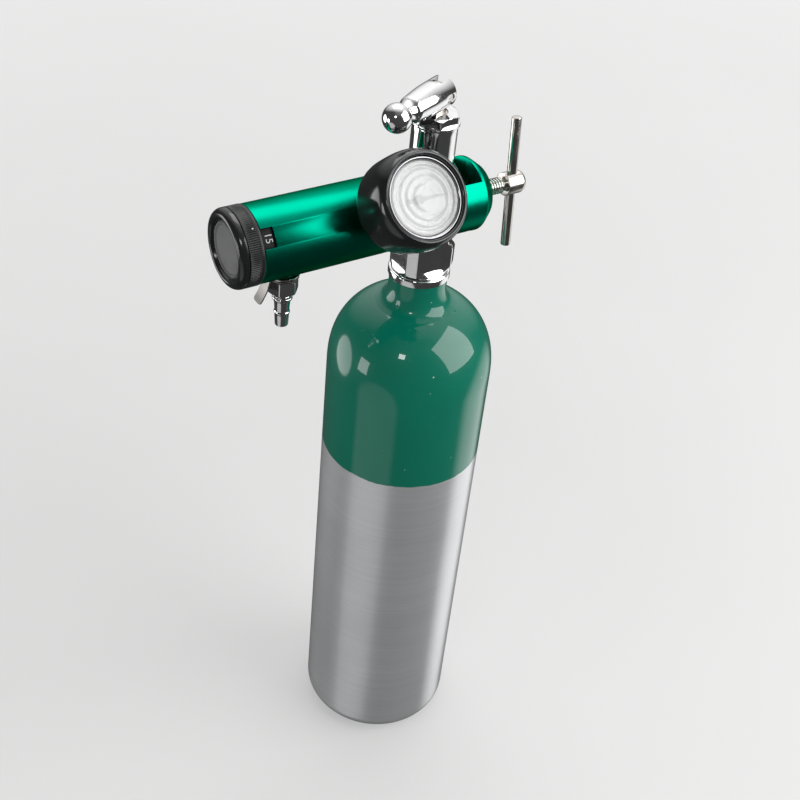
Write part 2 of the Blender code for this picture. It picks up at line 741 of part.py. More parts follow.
def make_pressure_stage(regulator_axis):
    at = (0, 0, REGULATOR_Z)
    axis = joint_axis("piston_axis", at, ALONG_X)
    piston_profile = [
        (0, -0.0362),
        (0.0022, -0.0362),
        (0.0022, -0.0340),
        (0.0040, -0.0340),
        (0.0040, -0.0575),
        (0.0127, -0.0575),
        (0.0127, -0.0592),
        (0.0113, -0.0592),
        (0.0113, -0.0612),
        (0.0127, -0.0612),
        (0.0127, -0.0628),
        (0.0012, -0.0628),
        (0.0012, -0.0400),
        (0, -0.0400),
    ]
    piston = add_object("piston", turned(piston_profile, 24), "brass", at, ALONG_X)
    ring = add_object("piston_o_ring", torus(0.01225, 0.0007, -0.0602), "black_rubber", at, ALONG_X)
    seat = add_object("regulator_seat", rod(0.0019, -0.0359, -0.0337, 16), "nylon", at, ALONG_X)
    attach(axis, piston, ring, seat)
    attach(regulator_axis, axis)
    spring = wire("piston_spring", coil(0.0082, -0.0560, -0.0476, 4, 12), 0.0008, "steel")
    spring.location = at
    spring.rotation_euler = ALONG_X
    return [spring]


def make_flow_block():
    """The fixed block behind the knob, with its feed and outlet passages and the ball's pocket."""
    at = (0, 0, REGULATOR_Z)
    block = add_object("flow_block", rod(0.0142, -0.0840, -0.0664, ROUND), "brass", at, ALONG_X)
    feed_place = (0, 0.008, REGULATOR_Z)
    return_place = (0, 0, REGULATOR_Z - 0.008)
    ball_place = (0, -DETENT_RADIUS, REGULATOR_Z)
    cut(
        block,
        add_object("feed_passage", rod(0.0011, -0.0850, -0.0650, 12), None, feed_place, ALONG_X),
        add_object("return_passage", rod(0.0013, -0.0850, -0.0720, 12), None, return_place, ALONG_X),
        add_object("outlet_socket", rod(0.0042, 0.0088, 0.0200), None, outlet_place(OUTLET_PLACE), DOWN),
        add_object("outlet_drill", rod(0.0012, 0.0060, 0.0200, 12), None, outlet_place(OUTLET_PLACE), DOWN),
        add_object("spindle_bore", rod(0.0024, -0.0850, -0.0760, 16), None, at, ALONG_X),
        add_object("ball_pocket", rod(0.0019, -0.0850, -0.0745, 16), None, ball_place, ALONG_X),
    )
    port_ring = torus(0.0021, 0.0005, -0.0834, 16, 6)
    gland = add_object("port_gland", tube(0.0014, 0.0028, -0.0850, -0.0826, 16), None, feed_place, ALONG_X)
    cut(block, gland)
    seal = add_object("port_o_ring", port_ring, "black_rubber", feed_place, ALONG_X)
    spring = wire("detent_spring", coil(0.0011, -0.0811, -0.0750, 5, 8), 0.00025, "steel")
    spring.location = ball_place
    spring.rotation_euler = ALONG_X
    return [block, seal, spring]


def make_detent_ball(regulator_axis):
    """The sprung ball that clicks into the flow disc's dimples."""
    centre = (-0.0830, -DETENT_RADIUS, REGULATOR_Z)
    axis = joint_axis("detent_ball_axis", centre, ALONG_X)
    bm = bmesh.new()
    bmesh.ops.create_uvsphere(bm, u_segments=12, v_segments=8, radius=0.0016)
    ball = add_object("detent_ball", bm, "steel", centre, ALONG_X)
    attach(axis, ball)
    attach(regulator_axis, axis)


def make_flow_knob(regulator_axis):
    at = (0, 0, REGULATOR_Z)
    axis = joint_axis("flow_knob_axis", at, ALONG_X)
    face = -0.0844
    disc_profile = [
        (0, -0.0780),
        (0.0020, -0.0780),
        (0.0020, face),
        (DETENT_RADIUS - 0.0012, face),
        (DETENT_RADIUS - 0.0010, face - GAP),
        (DETENT_RADIUS + 0.0010, face - GAP),
        (DETENT_RADIUS + 0.0012, face),
        (0.0130, face),
        (0.0130, face - 0.0022),
        (0.0032, face - 0.0022),
        (0.0032, -0.0932),
        (0, -0.0932),
    ]
    disc = add_object("orifice_disc", turned(disc_profile, 29), "brass", at, ALONG_X)
    # A small turn keeps the disc's own edges off the corners of its dimples and orifices
    disc.data.transform(Matrix.Rotation(0.043, 4, "Z"))
    cut(disc, add_object("disc_thread", rod(0.0018, -0.0940, -0.0875, 12), None, at, ALONG_X))
    for number in range(DETENT_COUNT):
        angle = 2 * math.pi * number / DETENT_COUNT
        reach = (-DETENT_RADIUS * math.cos(angle), DETENT_RADIUS * math.sin(angle))
        centre = (0, reach[0], REGULATOR_Z + reach[1])
        dimple = rod(0.0009, face - 2 * GAP, face + 0.0010, 8)
        cut(disc, add_object(f"disc_dimple_{number}", dimple, None, centre, ALONG_X))
    for number in range(ORIFICE_COUNT):
        angle = math.pi + 2 * math.pi * number / DETENT_COUNT
        centre = (0, -0.008 * math.cos(angle), REGULATOR_Z + 0.008 * math.sin(angle))
        radius = 0.00030 + 0.00004 * number
        hole = rod(radius, face - 0.0030, face + 0.0010, 6)
        cut(disc, add_object(f"disc_orifice_{number}", hole, None, centre, ALONG_X))
    drum_profile = [
        (0.0161, -0.0832),
        (0.0161, -0.0935),
        (0.0035, -0.0935),
        (0.0035, -0.0905),
        (0.0147, -0.0905),
        (0.0147, -0.0832),
    ]
    drum = add_object("flow_drum", turned(drum_profile, ROUND, True), "black_plastic", at, ALONG_X)
    ring_profile = [
        (0.0175, -0.0894),
        (0.0164, -0.0894),
        (0.0164, -0.0938),
        (0.0090, -0.0938),
        (0.0090, -0.0962),
        (0.0175, -0.0962),
    ]
    ring = add_object("knob_ring", turned(ring_profile, 48, True), "black_plastic", at, ALONG_X)
    cap_profile = [
        (0, -0.0985),
        (0.0128, -0.0985),
        (0.0136, -0.0999),
        (0.0152, -0.1003),
        (0.0164, -0.0999),
        (0.0172, -0.0990),
        (0.0175, -0.0976),
        (0.0175, -0.0965),
        (0.0086, -0.0965),
        (0.0086, -0.0945),
        (0.0072, -0.0945),
        (0.0072, -0.0972),
        (0, -0.0972),
    ]
    cap = add_object("knob_cap", turned(cap_profile, 40), "black_plastic", at, ALONG_X)
    screw_profile = [
        (0, -0.0890),
        (0.0015, -0.0890),
        (0.0015, -0.0938),
        (0.0060, -0.0938),
        (0.0060, -0.0955),
        (0.0048, -0.0966),
        (0, -0.0966),
    ]
    screw = add_object("knob_screw", turned(screw_profile, 16), "steel", at, ALONG_X)
    cut(screw, add_object("knob_screw_socket", hexagon(0.0017, -0.0980, -0.0952), None, at, ALONG_X))
    attach(axis, disc, drum, ring, cap, screw)
    attach(regulator_axis, axis)


def make_outlet():
    at = outlet_place(OUTLET_PLACE)
    hex_start = 0.0200
    hex_end = 0.0272
    profile = [
        (0.0011, 0.0095),
        (0.0039, 0.0095),
        (0.0039, hex_start),
        (0.0058, hex_start),
        (0.0058, hex_end),
        (0.0034, 0.0280),
        (0.0034, 0.0298),
        (0.0046, 0.0302),
        (0.0046, 0.0316),
        (0.0037, 0.0322),
        (0.0033, 0.0376),
        (0.0036, 0.0382),
        (0.0036, 0.0388),
        (0.0033, 0.0394),
        (0.0030, 0.0455),
        (0.0011, 0.0455),
    ]
    fitting = add_object("outlet_fitting", turned(profile, 24, True), "chrome", at, DOWN)
    flats = hexagon(0.0073, hex_start, hex_end, math.radians(10))
    weld(fitting, add_object("outlet_flats", flats, None, at, DOWN))
    cut(fitting, add_object("outlet_bore", rod(0.0013, 0.0080, 0.0480, 12), None, at, DOWN))
    seal = add_object("outlet_seal", tube(0.0043, 0.0074, 0.0177, 0.0187), "nickel_steel", at, DOWN)
    return [fitting, seal, make_outlet_tab(at), make_relief_cap()]


def make_outlet_tab(at):
    """The washer under the outlet's hexagon, whose tongue is bent down beside it."""
    tab = add_object("outlet_tab", tube(0.0043, 0.0072, 0.0190, 0.0197), "nickel_steel", at, DOWN)
    path = [
        (-0.0055, 0.01935),
        (-0.0074, 0.01935),
        (-0.0080, 0.0199),
        (-0.0083, 0.0212),
        (-0.0090, 0.0238),
        (-0.0106, 0.0272),
        (-0.0119, 0.0294),
        (-0.0125, 0.0304),
    ]
    half_widths = [TAB_HALF_WIDTH] * (len(path) - 1) + [TAB_HALF_WIDTH - 0.0012]
    tongue = bent_strip(path, half_widths, TAB_THICKNESS)
    weld(tab, add_object("outlet_tongue", tongue, None, at, DOWN))
    return tab


def make_relief_cap():
    at = outlet_place(RELIEF_PLACE)
    stub = [
        (0, 0.0149),
        (0.0032, 0.0149),
        (0.0032, 0.0177),
        (0.0056, 0.0177),
        (0.0056, 0.0200),
        (0, 0.0200),
    ]
    cap = add_object("relief_cap", turned(stub, COARSE), "chrome", at, RELIEF_AIM)
    weld(cap, add_object("relief_flats", hexagon(0.0055, 0.0195, 0.0240), None, at, RELIEF_AIM))
    vent = rod(0.0009, -0.010, 0.010, 8)
    vent_place = Vector(at) + 0.0220 * Vector((0, math.sin(RELIEF_ANGLE), -math.cos(RELIEF_ANGLE)))
    cut(cap, add_object("relief_vent", vent, None, vent_place, ALONG_X))
    return cap


# The gauge


def make_gauge(regulator_axis):
    at = gauge_place(0)
    case_profile = [
        (0.0010, 0.0095),
        (0.0043, 0.0095),
        (0.0043, 0.0180),
        (0.0052, 0.0182),
        (0.0052, 0.0225),
        (0.0105, GAUGE_BACK - 0.0012),
        (GAUGE_CASE_RADIUS - 0.0015, GAUGE_BACK),
        (GAUGE_CASE_RADIUS, GAUGE_BACK + 0.0015),
        (GAUGE_CASE_RADIUS, 0.0440),
        (GAUGE_CASE_RADIUS - 0.0010, 0.0440),
        (GAUGE_CASE_RADIUS - 0.0010, GAUGE_BACK + 0.0022),
        (0.0040, GAUGE_BACK + 0.0022),
        (0.0040, GAUGE_BACK + 0.0045),
        (0.0010, GAUGE_BACK + 0.0045),
    ]
    case = add_object("gauge_case", turned(case_profile, ROUND, True), "brass", at, GAUGE_AIM)
    boot_inner = GAUGE_CASE_RADIUS + GAP
    boot_profile = [
        (0.0112, GAUGE_BACK - 0.0030),
        (0.0185, GAUGE_BACK - 0.0026),
        (0.0202, GAUGE_BACK - 0.0008),
        (0.0210, 0.0300),
        (BOOT_RADIUS, 0.0380),
        (0.0210, 0.0435),
        (0.0198, 0.0472),
        (BOOT_LIP_RADIUS + 0.0004, BOOT_FRONT),
        (BOOT_LIP_RADIUS - 0.0006, BOOT_FRONT - 0.0002),
        (BOOT_LIP_RADIUS - 0.0008, 0.0472),
        (boot_inner, 0.0465),
        (boot_inner, GAUGE_BACK - 0.0004),
        (0.0112, GAUGE_BACK - 0.0018),
    ]
    boot = add_object("gauge_boot", turned(boot_profile, 40, True), "black_rubber", at, GAUGE_AIM)
    bezel_profile = [
        (LENS_RADIUS, 0.0443),
        (GAUGE_CASE_RADIUS, 0.0443),
        (GAUGE_CASE_RADIUS, 0.0461),
        (0.0170, 0.0474),
        (LENS_RADIUS + 0.0004, 0.0476),
    ]
    bezel = add_object("gauge_bezel", turned(bezel_profile, ROUND, True), "chrome", at, GAUGE_AIM)
    lens_profile = [
        (0, 0.0450),
        (LENS_RADIUS - GAP, 0.0450),
        (LENS_RADIUS - GAP, 0.0466),
        (LENS_RADIUS - 0.0016, 0.0472),
        (0, 0.0480),
    ]
    lens = add_object("gauge_lens", turned(lens_profile, ROUND), "clear_plastic", at, GAUGE_AIM)
    dial_end = DIAL_DISTANCE + 0.0008
    dial_bm = tube(0.0016, 0.0168, DIAL_DISTANCE, dial_end, ROUND)
    dial = add_object("gauge_dial", dial_bm, "white_enamel", at, GAUGE_AIM)
    sweep = []
    for index in range(25):
        angle = math.radians(-60 + 285 * index / 24)
        sweep.append((0.0135 * math.cos(angle), 0.0135 * math.sin(angle), 0.0315))
    bourdon = wire("bourdon_tube", sweep, 0.0012, "brass")
    bourdon.location = at
    bourdon.rotation_euler = GAUGE_AIM

    pointer_axis = joint_axis("gauge_pointer_axis", at, GAUGE_AIM)
    pinion = add_object("pointer_pinion", rod(0.0010, 0.0302, 0.0415, 12), "brass", at, GAUGE_AIM)
    hand = loft(
        [
            [(-0.0050, -0.0009, z), (0.0115, -0.0004, z), (0.0115, 0.0004, z), (-0.0050, 0.0009, z)]
            for z in (0.0418, 0.0422)
        ]
    )
    pointer = add_object("gauge_pointer", hand, "black_plastic", at, GAUGE_AIM)
    weld(pointer, add_object("pointer_hub", rod(0.0020, 0.0418, 0.0430, 16), None, at, GAUGE_AIM))
    attach(pointer_axis, pinion, pointer)

    sector_axis = joint_axis("sector_axis", at, GAUGE_AIM)
    reach = SECTOR_OFFSET - 0.0010 - 0.0002
    outline = []
    for index in range(9):
        angle = math.radians(60 + 7.5 * index)
        outline.append((reach * math.cos(angle), -SECTOR_OFFSET + reach * math.sin(angle)))
    for index in range(7):
        angle = math.radians(160 + 220 * index / 6)
        outline.append((0.0017 * math.cos(angle), -SECTOR_OFFSET + 0.0017 * math.sin(angle)))
    plate = loft([[(x, y, z) for x, y in outline] for z in (0.0335, 0.0343)])
    sector = add_object("sector_gear", plate, "brass", at, GAUGE_AIM)
    attach(sector_axis, sector)
    attach(regulator_axis, pointer_axis, sector_axis)
    return [case, boot, bezel, lens, dial, bourdon]


def main():
    clear_scene()
    make_cylinder()
    make_valve_body()
    make_valve_fittings()
    make_lever(make_stem())
    regulator_axis = joint_axis("regulator_axis", (0, 0, REGULATOR_Z), ALONG_X)
    fixed = [make_regulator_body()]
    fixed += make_inlet()
    fixed += make_pressure_stage(regulator_axis)
    fixed += make_flow_block()
    fixed += make_outlet()
    fixed += make_gauge(regulator_axis)
    attach(regulator_axis, *fixed)
    make_yoke_screw(regulator_axis)
    make_detent_ball(regulator_axis)
    make_flow_knob(regulator_axis)


main()
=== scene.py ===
"""The looks of the portable oxygen cylinder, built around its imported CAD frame.

Every fine piece is turned, lofted or cut in the same places as the CAD node that it stands for.
Lengths are in metres. A turned piece's own +Z runs along its axis of turning, and its profile is a
list of (radius, height) points.
"""

import json
from math import atan2, cos, pi, radians, sin, sqrt, tan

import bmesh
import bpy
from mathutils import Matrix, Vector


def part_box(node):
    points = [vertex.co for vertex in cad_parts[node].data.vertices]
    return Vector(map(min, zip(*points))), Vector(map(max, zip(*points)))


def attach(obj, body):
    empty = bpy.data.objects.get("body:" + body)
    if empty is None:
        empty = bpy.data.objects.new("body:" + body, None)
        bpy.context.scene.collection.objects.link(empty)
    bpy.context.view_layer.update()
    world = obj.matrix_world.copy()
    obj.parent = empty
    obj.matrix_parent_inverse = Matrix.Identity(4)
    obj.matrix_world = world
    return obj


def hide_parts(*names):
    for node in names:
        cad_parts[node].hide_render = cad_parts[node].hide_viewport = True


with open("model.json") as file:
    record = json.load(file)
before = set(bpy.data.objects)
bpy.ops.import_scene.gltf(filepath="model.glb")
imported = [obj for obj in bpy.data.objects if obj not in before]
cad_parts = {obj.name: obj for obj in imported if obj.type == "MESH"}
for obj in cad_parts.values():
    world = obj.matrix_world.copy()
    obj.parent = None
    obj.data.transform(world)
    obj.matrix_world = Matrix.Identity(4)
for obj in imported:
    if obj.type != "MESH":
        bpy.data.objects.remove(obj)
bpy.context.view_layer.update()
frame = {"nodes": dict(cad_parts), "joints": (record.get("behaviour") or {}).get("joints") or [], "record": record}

JOINTS = {joint["name"]: joint for joint in frame["joints"]}

# Places that come from the frame
LEVER_PIVOT = Vector(JOINTS["lever_fold"]["pos_m"])
LEVER_PIN_AXIS = Vector(JOINTS["lever_fold"]["axis"])
GAUGE_POINT = Vector(JOINTS["pointer_turn"]["pos_m"])
GAUGE_AXIS = Vector(JOINTS["pointer_turn"]["axis"])
REGULATOR_Z = JOINTS["flow_knob_turn"]["pos_m"][2]
SHELL_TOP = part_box("cylinder_shell")[1].z
SHELL_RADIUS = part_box("cylinder_shell")[1].y
BAR_PLACE = JOINTS["screw_turn"]["pos_m"][0]
OUTLET_PLACE = (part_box("outlet_seal")[0].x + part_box("outlet_seal")[1].x) / 2
RELIEF_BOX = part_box("relief_cap")
VALVE_Z = SHELL_TOP + 0.0003

# Sizes of the shell
PAINT_LINE = 0.1952
NECK_RADIUS = 0.0138
NECK_HEIGHT = 0.0125
SHOULDER_HEIGHT = 0.04
SHOULDER_POWER = 2.35
BASE_EDGE = 0.009
INSIDE_RADIUS = 0.0351

# Sizes of the valve, with heights counted from its seat on the neck
FLANGE_RADIUS = 0.0146
POST_FRONT = -0.0123
POST_BACK = 0.011
BODY_BACK = 0.0139
POST_HALF_WIDTH = 0.0111
POST_RADIUS = 0.0102
BLOCK_TOP = 0.0535
POST_CORNER = 0.004
POST_TOP = 0.0766
OUTLET_HEIGHT = REGULATOR_Z - VALVE_Z
NUT_TOP = 0.082
STEM_RADIUS = 0.0048
PIN_HOLE_RADIUS = 0.0019
LEVER_REACH = 0.032
LEVER_END = 0.0033
LEVER_SLOT = 0.0056

# Sizes of the regulator, with places counted along X from the valve's axis
TUBE_RADIUS = 0.0173
KNOB_END = -0.0891
INLET_FACE = -0.0151
SLOT_END = 0.0205
SLOT_HALF_WIDTH = 0.0122
YOKE_CONE_START = 0.022
YOKE_END = 0.0278
YOKE_END_RADIUS = 0.0127
WINDOW_ANGLE = radians(53.3)
WINDOW_DEPTH = 0.0055
WINDOW_HALF_WIDTH = 0.0044
KNOB_RADIUS = 0.0175
RIB_COUNT = 120
RIB_DEPTH = 0.0003
SCREW_RADIUS = 0.0039
SCREW_PITCH = 0.001411
BAR_TILT = radians(5.2)
BAR_HALF_LENGTH = 0.0322
RELIEF_ANGLE = radians(40)
INDEX_RADIUS = 0.0143
INDEX_ANGLE = radians(18)
INDEX_ACROSS = INDEX_RADIUS * sin(INDEX_ANGLE)
INDEX_BELOW = INDEX_RADIUS * cos(INDEX_ANGLE)

# Sizes of the gauge, with distances counted outwards from the regulator's axis
DIAL_FACE = 0.0403
DIAL_RADIUS = 0.0157
SCALE_START = radians(225)
SCALE_SWEEP = radians(270)

# The photograph's view, its angles in degrees
VIEW_TARGET = Vector((-0.0237, -0.0295, VALVE_Z - 0.0476))
VIEW_AZIMUTH = -35.49
VIEW_ELEVATION = 38.43
VIEW_ROLL = 6.21
VIEW_DISTANCE = 0.5868
VIEW_LENS = 56.25

# White cards in the dark studio, which the bright metal mirrors:
# azimuth, elevation, where its edge starts and ends, all in degrees, and its radiance
CARDS = (
    (144, 48, 22, 62, 1.15),
    (-74, -38, 20, 26, 0.5),
    (84, -34, 14, 26, 1.1),
    (10, 75, 10, 40, 0.15),
    (-134, -12, 16, 19, 3.0),
)

FINE = 128
MEDIUM = 64
SHARP = radians(32)
GAP = 0.0003
UP = Vector((0, 0, 1))

# Quarter turns that lay a piece's own +Z along another axis
TO_X = Matrix.Rotation(pi / 2, 4, "Y")
TO_MINUS_X = Matrix.Rotation(-pi / 2, 4, "Y")
TO_Y = Matrix.Rotation(-pi / 2, 4, "X")


def moved(point, rotation=None):
    matrix = Matrix.Translation(point)
    return matrix @ rotation.to_4x4() if rotation else matrix


def turned_to(direction, up):
    """A rotation whose +Z points in a direction, and whose +Y leans to up."""
    z = direction.normalized()
    x = up.cross(z).normalized()
    y = z.cross(x)
    return Matrix((x, y, z)).transposed()


VALVE = moved((0, 0, VALVE_Z))
ALONG_X = moved((0, 0, REGULATOR_Z), Matrix.Rotation(pi / 2, 3, "Y"))
GAUGE = moved(GAUGE_POINT, turned_to(GAUGE_AXIS, UP))
LEVER_DIRECTION = UP.cross(LEVER_PIN_AXIS)
LEVER = moved(LEVER_PIVOT, turned_to(LEVER_DIRECTION, LEVER_PIN_AXIS))
LEVER_PIN = moved(LEVER_PIVOT, turned_to(LEVER_PIN_AXIS, UP))
HOSE = moved((OUTLET_PLACE, 0, REGULATOR_Z), Matrix.Rotation(pi, 3, "X"))
RELIEF_X = (RELIEF_BOX[0].x + RELIEF_BOX[1].x) / 2
RELIEF = moved((RELIEF_X, 0, REGULATOR_Z), Matrix.Rotation(pi + RELIEF_ANGLE, 3, "X"))
PLUG = moved((0, 0, VALVE_Z + 0.013), Matrix.Rotation(-pi / 2, 3, "X"))
BAR = moved((BAR_PLACE, 0, REGULATOR_Z), Matrix.Rotation(-BAR_TILT, 3, "X"))


# Materials


def shader_for(name, colour, roughness, metallic=0.0, **inputs):
    """A Principled material. Further inputs are set on the shader's own sockets."""
    material = bpy.data.materials.new(name)
    material.use_nodes = True
    tree = material.node_tree
    shader = tree.nodes["Principled BSDF"]
    shader.inputs["Base Color"].default_value = (*colour, 1)
    shader.inputs["Roughness"].default_value = roughness
    shader.inputs["Metallic"].default_value = metallic
    for key, value in inputs.items():
        shader.inputs[key.replace("_", " ").title().replace("Ior", "IOR")].default_value = value
    return material, tree, shader


def node(tree, kind, **links):
    """A node whose inputs are linked from sockets or set to values."""
    made = tree.nodes.new(kind)
    for key, value in links.items():
        socket = made.inputs[int(key[1:])] if key[0] == "i" and key[1:].isdigit() else made.inputs[key]
        if isinstance(value, bpy.types.NodeSocket):
            tree.links.new(value, socket)
        else:
            socket.default_value = value
    return made


def place_of(tree, scale=(1, 1, 1)):
    coordinates = tree.nodes.new("ShaderNodeTexCoord")
    mapping = node(tree, "ShaderNodeMapping", Vector=coordinates.outputs["Object"], Scale=scale)
    return mapping.outputs["Vector"]


def noise(tree, vector, scale, detail=3.0, roughness=0.5):
    made = node(tree, "ShaderNodeTexNoise", Vector=vector, Scale=scale, Detail=detail, Roughness=roughness)
    return made.outputs["Fac"]


def ranged(tree, value, low, high, start=0.3, end=0.7):
    """The value's span from start to end, stretched over low to high."""
    made = tree.nodes.new("ShaderNodeMapRange")
    tree.links.new(value, made.inputs["Value"])
    for key, number in (("From Min", start), ("From Max", end), ("To Min", low), ("To Max", high)):
        made.inputs[key].default_value = number
    return made.outputs["Result"]


def sums(tree, operation, first, second=0.5, third=0.5):
    made = tree.nodes.new("ShaderNodeMath")
    made.operation = operation
    for socket, value in zip(made.inputs, (first, second, third)):
        if isinstance(value, bpy.types.NodeSocket):
            tree.links.new(value, socket)
        else:
            socket.default_value = value
    return made.outputs["Value"]


def mixed(tree, factor, first, second):
    made = tree.nodes.new("ShaderNodeMix")
    made.data_type = "RGBA"
    tree.links.new(factor, made.inputs["Factor"])
    for socket, colour in ((made.inputs[6], first), (made.inputs[7], second)):
        if isinstance(colour, bpy.types.NodeSocket):
            tree.links.new(colour, socket)
        else:
            socket.default_value = (*colour, 1)
    return made.outputs[2]


def drive(shader, name, value):
    shader.id_data.links.new(value, shader.inputs[name])


def bumped(tree, shader, height, distance, strength):
    made = node(tree, "ShaderNodeBump", Height=height, Distance=distance, Strength=strength)
    drive(shader, "Normal", made.outputs["Normal"])


def painted_shell():
    """Gloss green paint down to a line, and bare brushed aluminium under it."""
    material, tree, shader = shader_for(
        "painted_shell", (0, 0.2, 0.1), 0.3, specular_ior_level=0.1, coat_weight=0.85, coat_roughness=0.035
    )
    place = place_of(tree)
    height = node(tree, "ShaderNodeSeparateXYZ", Vector=place).outputs["Z"]
    waver = ranged(tree, noise(tree, place, 90), -0.0005, 0.0005)
    edge = sums(tree, "ADD", height, waver)
    paint = ranged(tree, edge, 0, 1, PAINT_LINE - 0.00012, PAINT_LINE + 0.00012)
    depth = noise(tree, place, 14, 2)
    green = mixed(tree, ranged(tree, depth, 0, 1), (0.0, 0.088, 0.055), (0.0, 0.104, 0.066))
    # Pale specks in the paint: small flaws in the paint, with their glint of light painted in as a pale colour
    # (painted highlight)
    glint_specks = ranged(tree, noise(tree, place, 520, 2, 0.4), 0, 1, 0.775, 0.8)
    green = mixed(tree, glint_specks, green, (0.3, 0.42, 0.37))
    streaks = noise(tree, place_of(tree, (5, 5, 4200)), 1.0, 3, 0.55)
    cloud = noise(tree, place, 22, 3)
    bare = mixed(tree, ranged(tree, streaks, 0, 1), (0.5, 0.51, 0.52), (0.7, 0.71, 0.72))
    bare = mixed(tree, ranged(tree, cloud, 0.0, 0.35), bare, (0.44, 0.45, 0.46))
    drive(shader, "Base Color", mixed(tree, paint, bare, green))
    drive(shader, "Metallic", sums(tree, "MULTIPLY_ADD", paint, -0.75, 0.75))
    bare_roughness = ranged(tree, streaks, 0.28, 0.46)
    both = sums(tree, "MULTIPLY_ADD", sums(tree, "SUBTRACT", 0.34, bare_roughness), paint, bare_roughness)
    drive(shader, "Roughness", both)
    peel = sums(tree, "MULTIPLY", noise(tree, place, 260, 1), 0.6)
    relief = sums(tree, "MULTIPLY", streaks, sums(tree, "SUBTRACT", 1.0, paint))
    relief = sums(tree, "MULTIPLY_ADD", relief, 0.25, peel)
    relief = sums(tree, "MULTIPLY_ADD", paint, 6.0, relief)
    bumped(tree, shader, relief, 0.00002, 0.6)
    return material


def green_anodised():
    """Turned aluminium under a bright green anodised layer."""
    material, tree, shader = shader_for(
        "green_anodised", (0.0, 0.24, 0.15), 0.3, 1.0, specular_tint=(0.05, 0.45, 0.32, 1.0)
    )
    place = place_of(tree)
    rings = noise(tree, place_of(tree, (9, 9, 3400)), 1.0, 3, 0.6)
    cloud = noise(tree, place, 30, 3)
    tint = mixed(tree, ranged(tree, cloud, 0, 1), (0.0, 0.22, 0.135), (0.0, 0.26, 0.16))
    scuffs = ranged(tree, noise(tree, place_of(tree, (900, 900, 60)), 1.0, 2, 0.5), 0, 0.5, 0.76, 0.82)
    tint = mixed(tree, scuffs, tint, (0.1, 0.34, 0.24))
    drive(shader, "Base Color", tint)
    drive(shader, "Roughness", ranged(tree, rings, 0.27, 0.32))
    bumped(tree, shader, rings, 0.000001, 0.3)
    return material


def plated(name, colour, roughness, spread, wave, fine=0.0):
    """A plated metal with slow waves from its casting, patchy gloss, and fine scratches."""
    material, tree, shader = shader_for(name, colour, roughness, 1.0)
    place = place_of(tree)
    cloud = noise(tree, place, 140, 3)
    dark = tuple(channel * 0.9 for channel in colour)
    drive(shader, "Base Color", mixed(tree, ranged(tree, cloud, 0, 1), dark, colour))
    drive(shader, "Roughness", ranged(tree, cloud, roughness - spread, roughness + spread))
    relief = noise(tree, place, 190, 2)
    if fine:
        scratches = noise(tree, place_of(tree, (300, 300, 6000)), 1.0, 2, 0.6)
        relief = sums(tree, "MULTIPLY_ADD", scratches, fine, relief)
    bumped(tree, shader, relief, wave, 0.5)
    return material


def moulded(name, colour, roughness, spread, grain, depth, **inputs):
    """Rubber or plastic: a fine grain, patchy gloss and a trace of dust."""
    material, tree, shader = shader_for(name, colour, roughness, **inputs)
    place = place_of(tree)
    cloud = noise(tree, place, 75, 4, 0.6)
    dusty = tuple(0.004 + channel * 1.2 for channel in colour)
    drive(shader, "Base Color", mixed(tree, ranged(tree, cloud, 0, 0.45), colour, dusty))
    drive(shader, "Roughness", ranged(tree, cloud, roughness - spread, roughness + spread))
    bumped(tree, shader, noise(tree, place, grain, 2), depth, 0.5)
    return material


def turned_face(name, colour, roughness):
    """A satin face with the faint rings of a lathe tool."""
    material, tree, shader = shader_for(name, colour, roughness)
    place = place_of(tree)
    parts = node(tree, "ShaderNodeSeparateXYZ", Vector=place)
    squares = sums(tree, "MULTIPLY", parts.outputs["X"], parts.outputs["X"])
    squares = sums(tree, "MULTIPLY_ADD", parts.outputs["Y"], parts.outputs["Y"], squares)
    radius = sums(tree, "SQRT", squares)
    rings = sums(tree, "SINE", sums(tree, "MULTIPLY", radius, 5200.0))
    cloud = noise(tree, place, 130, 4, 0.6)
    pale = tuple(channel * 1.35 + 0.01 for channel in colour)
    drive(shader, "Base Color", mixed(tree, ranged(tree, cloud, 0, 1), colour, pale))
    drive(shader, "Roughness", ranged(tree, cloud, roughness - 0.08, roughness + 0.08))
    relief = sums(tree, "MULTIPLY_ADD", rings, 0.3, cloud)
    bumped(tree, shader, relief, 0.000012, 0.5)
    return material


def printed(name, colour):
    material, tree, shader = shader_for(name, colour, 0.5)
    cloud = noise(tree, place_of(tree), 600, 2)
    worn = tuple(channel * 0.86 + 0.01 for channel in colour)
    drive(shader, "Base Color", mixed(tree, ranged(tree, cloud, 0, 1), colour, worn))
    return material


def clear_lens():
    # The pale milky base colour, seen through the partial alpha, is a painted reflection: it stands in for the
    # glare of the lights on the clear lens
    material, tree, shader = shader_for("clear_lens", (0.62, 0.63, 0.63), 0.04, coat_weight=1.0,
        coat_roughness=0.02)
    shader.inputs["Alpha"].default_value = 0.34
    haze = noise(tree, place_of(tree), 160, 3)
    drive(shader, "Roughness", ranged(tree, haze, 0.03, 0.11))
    return material


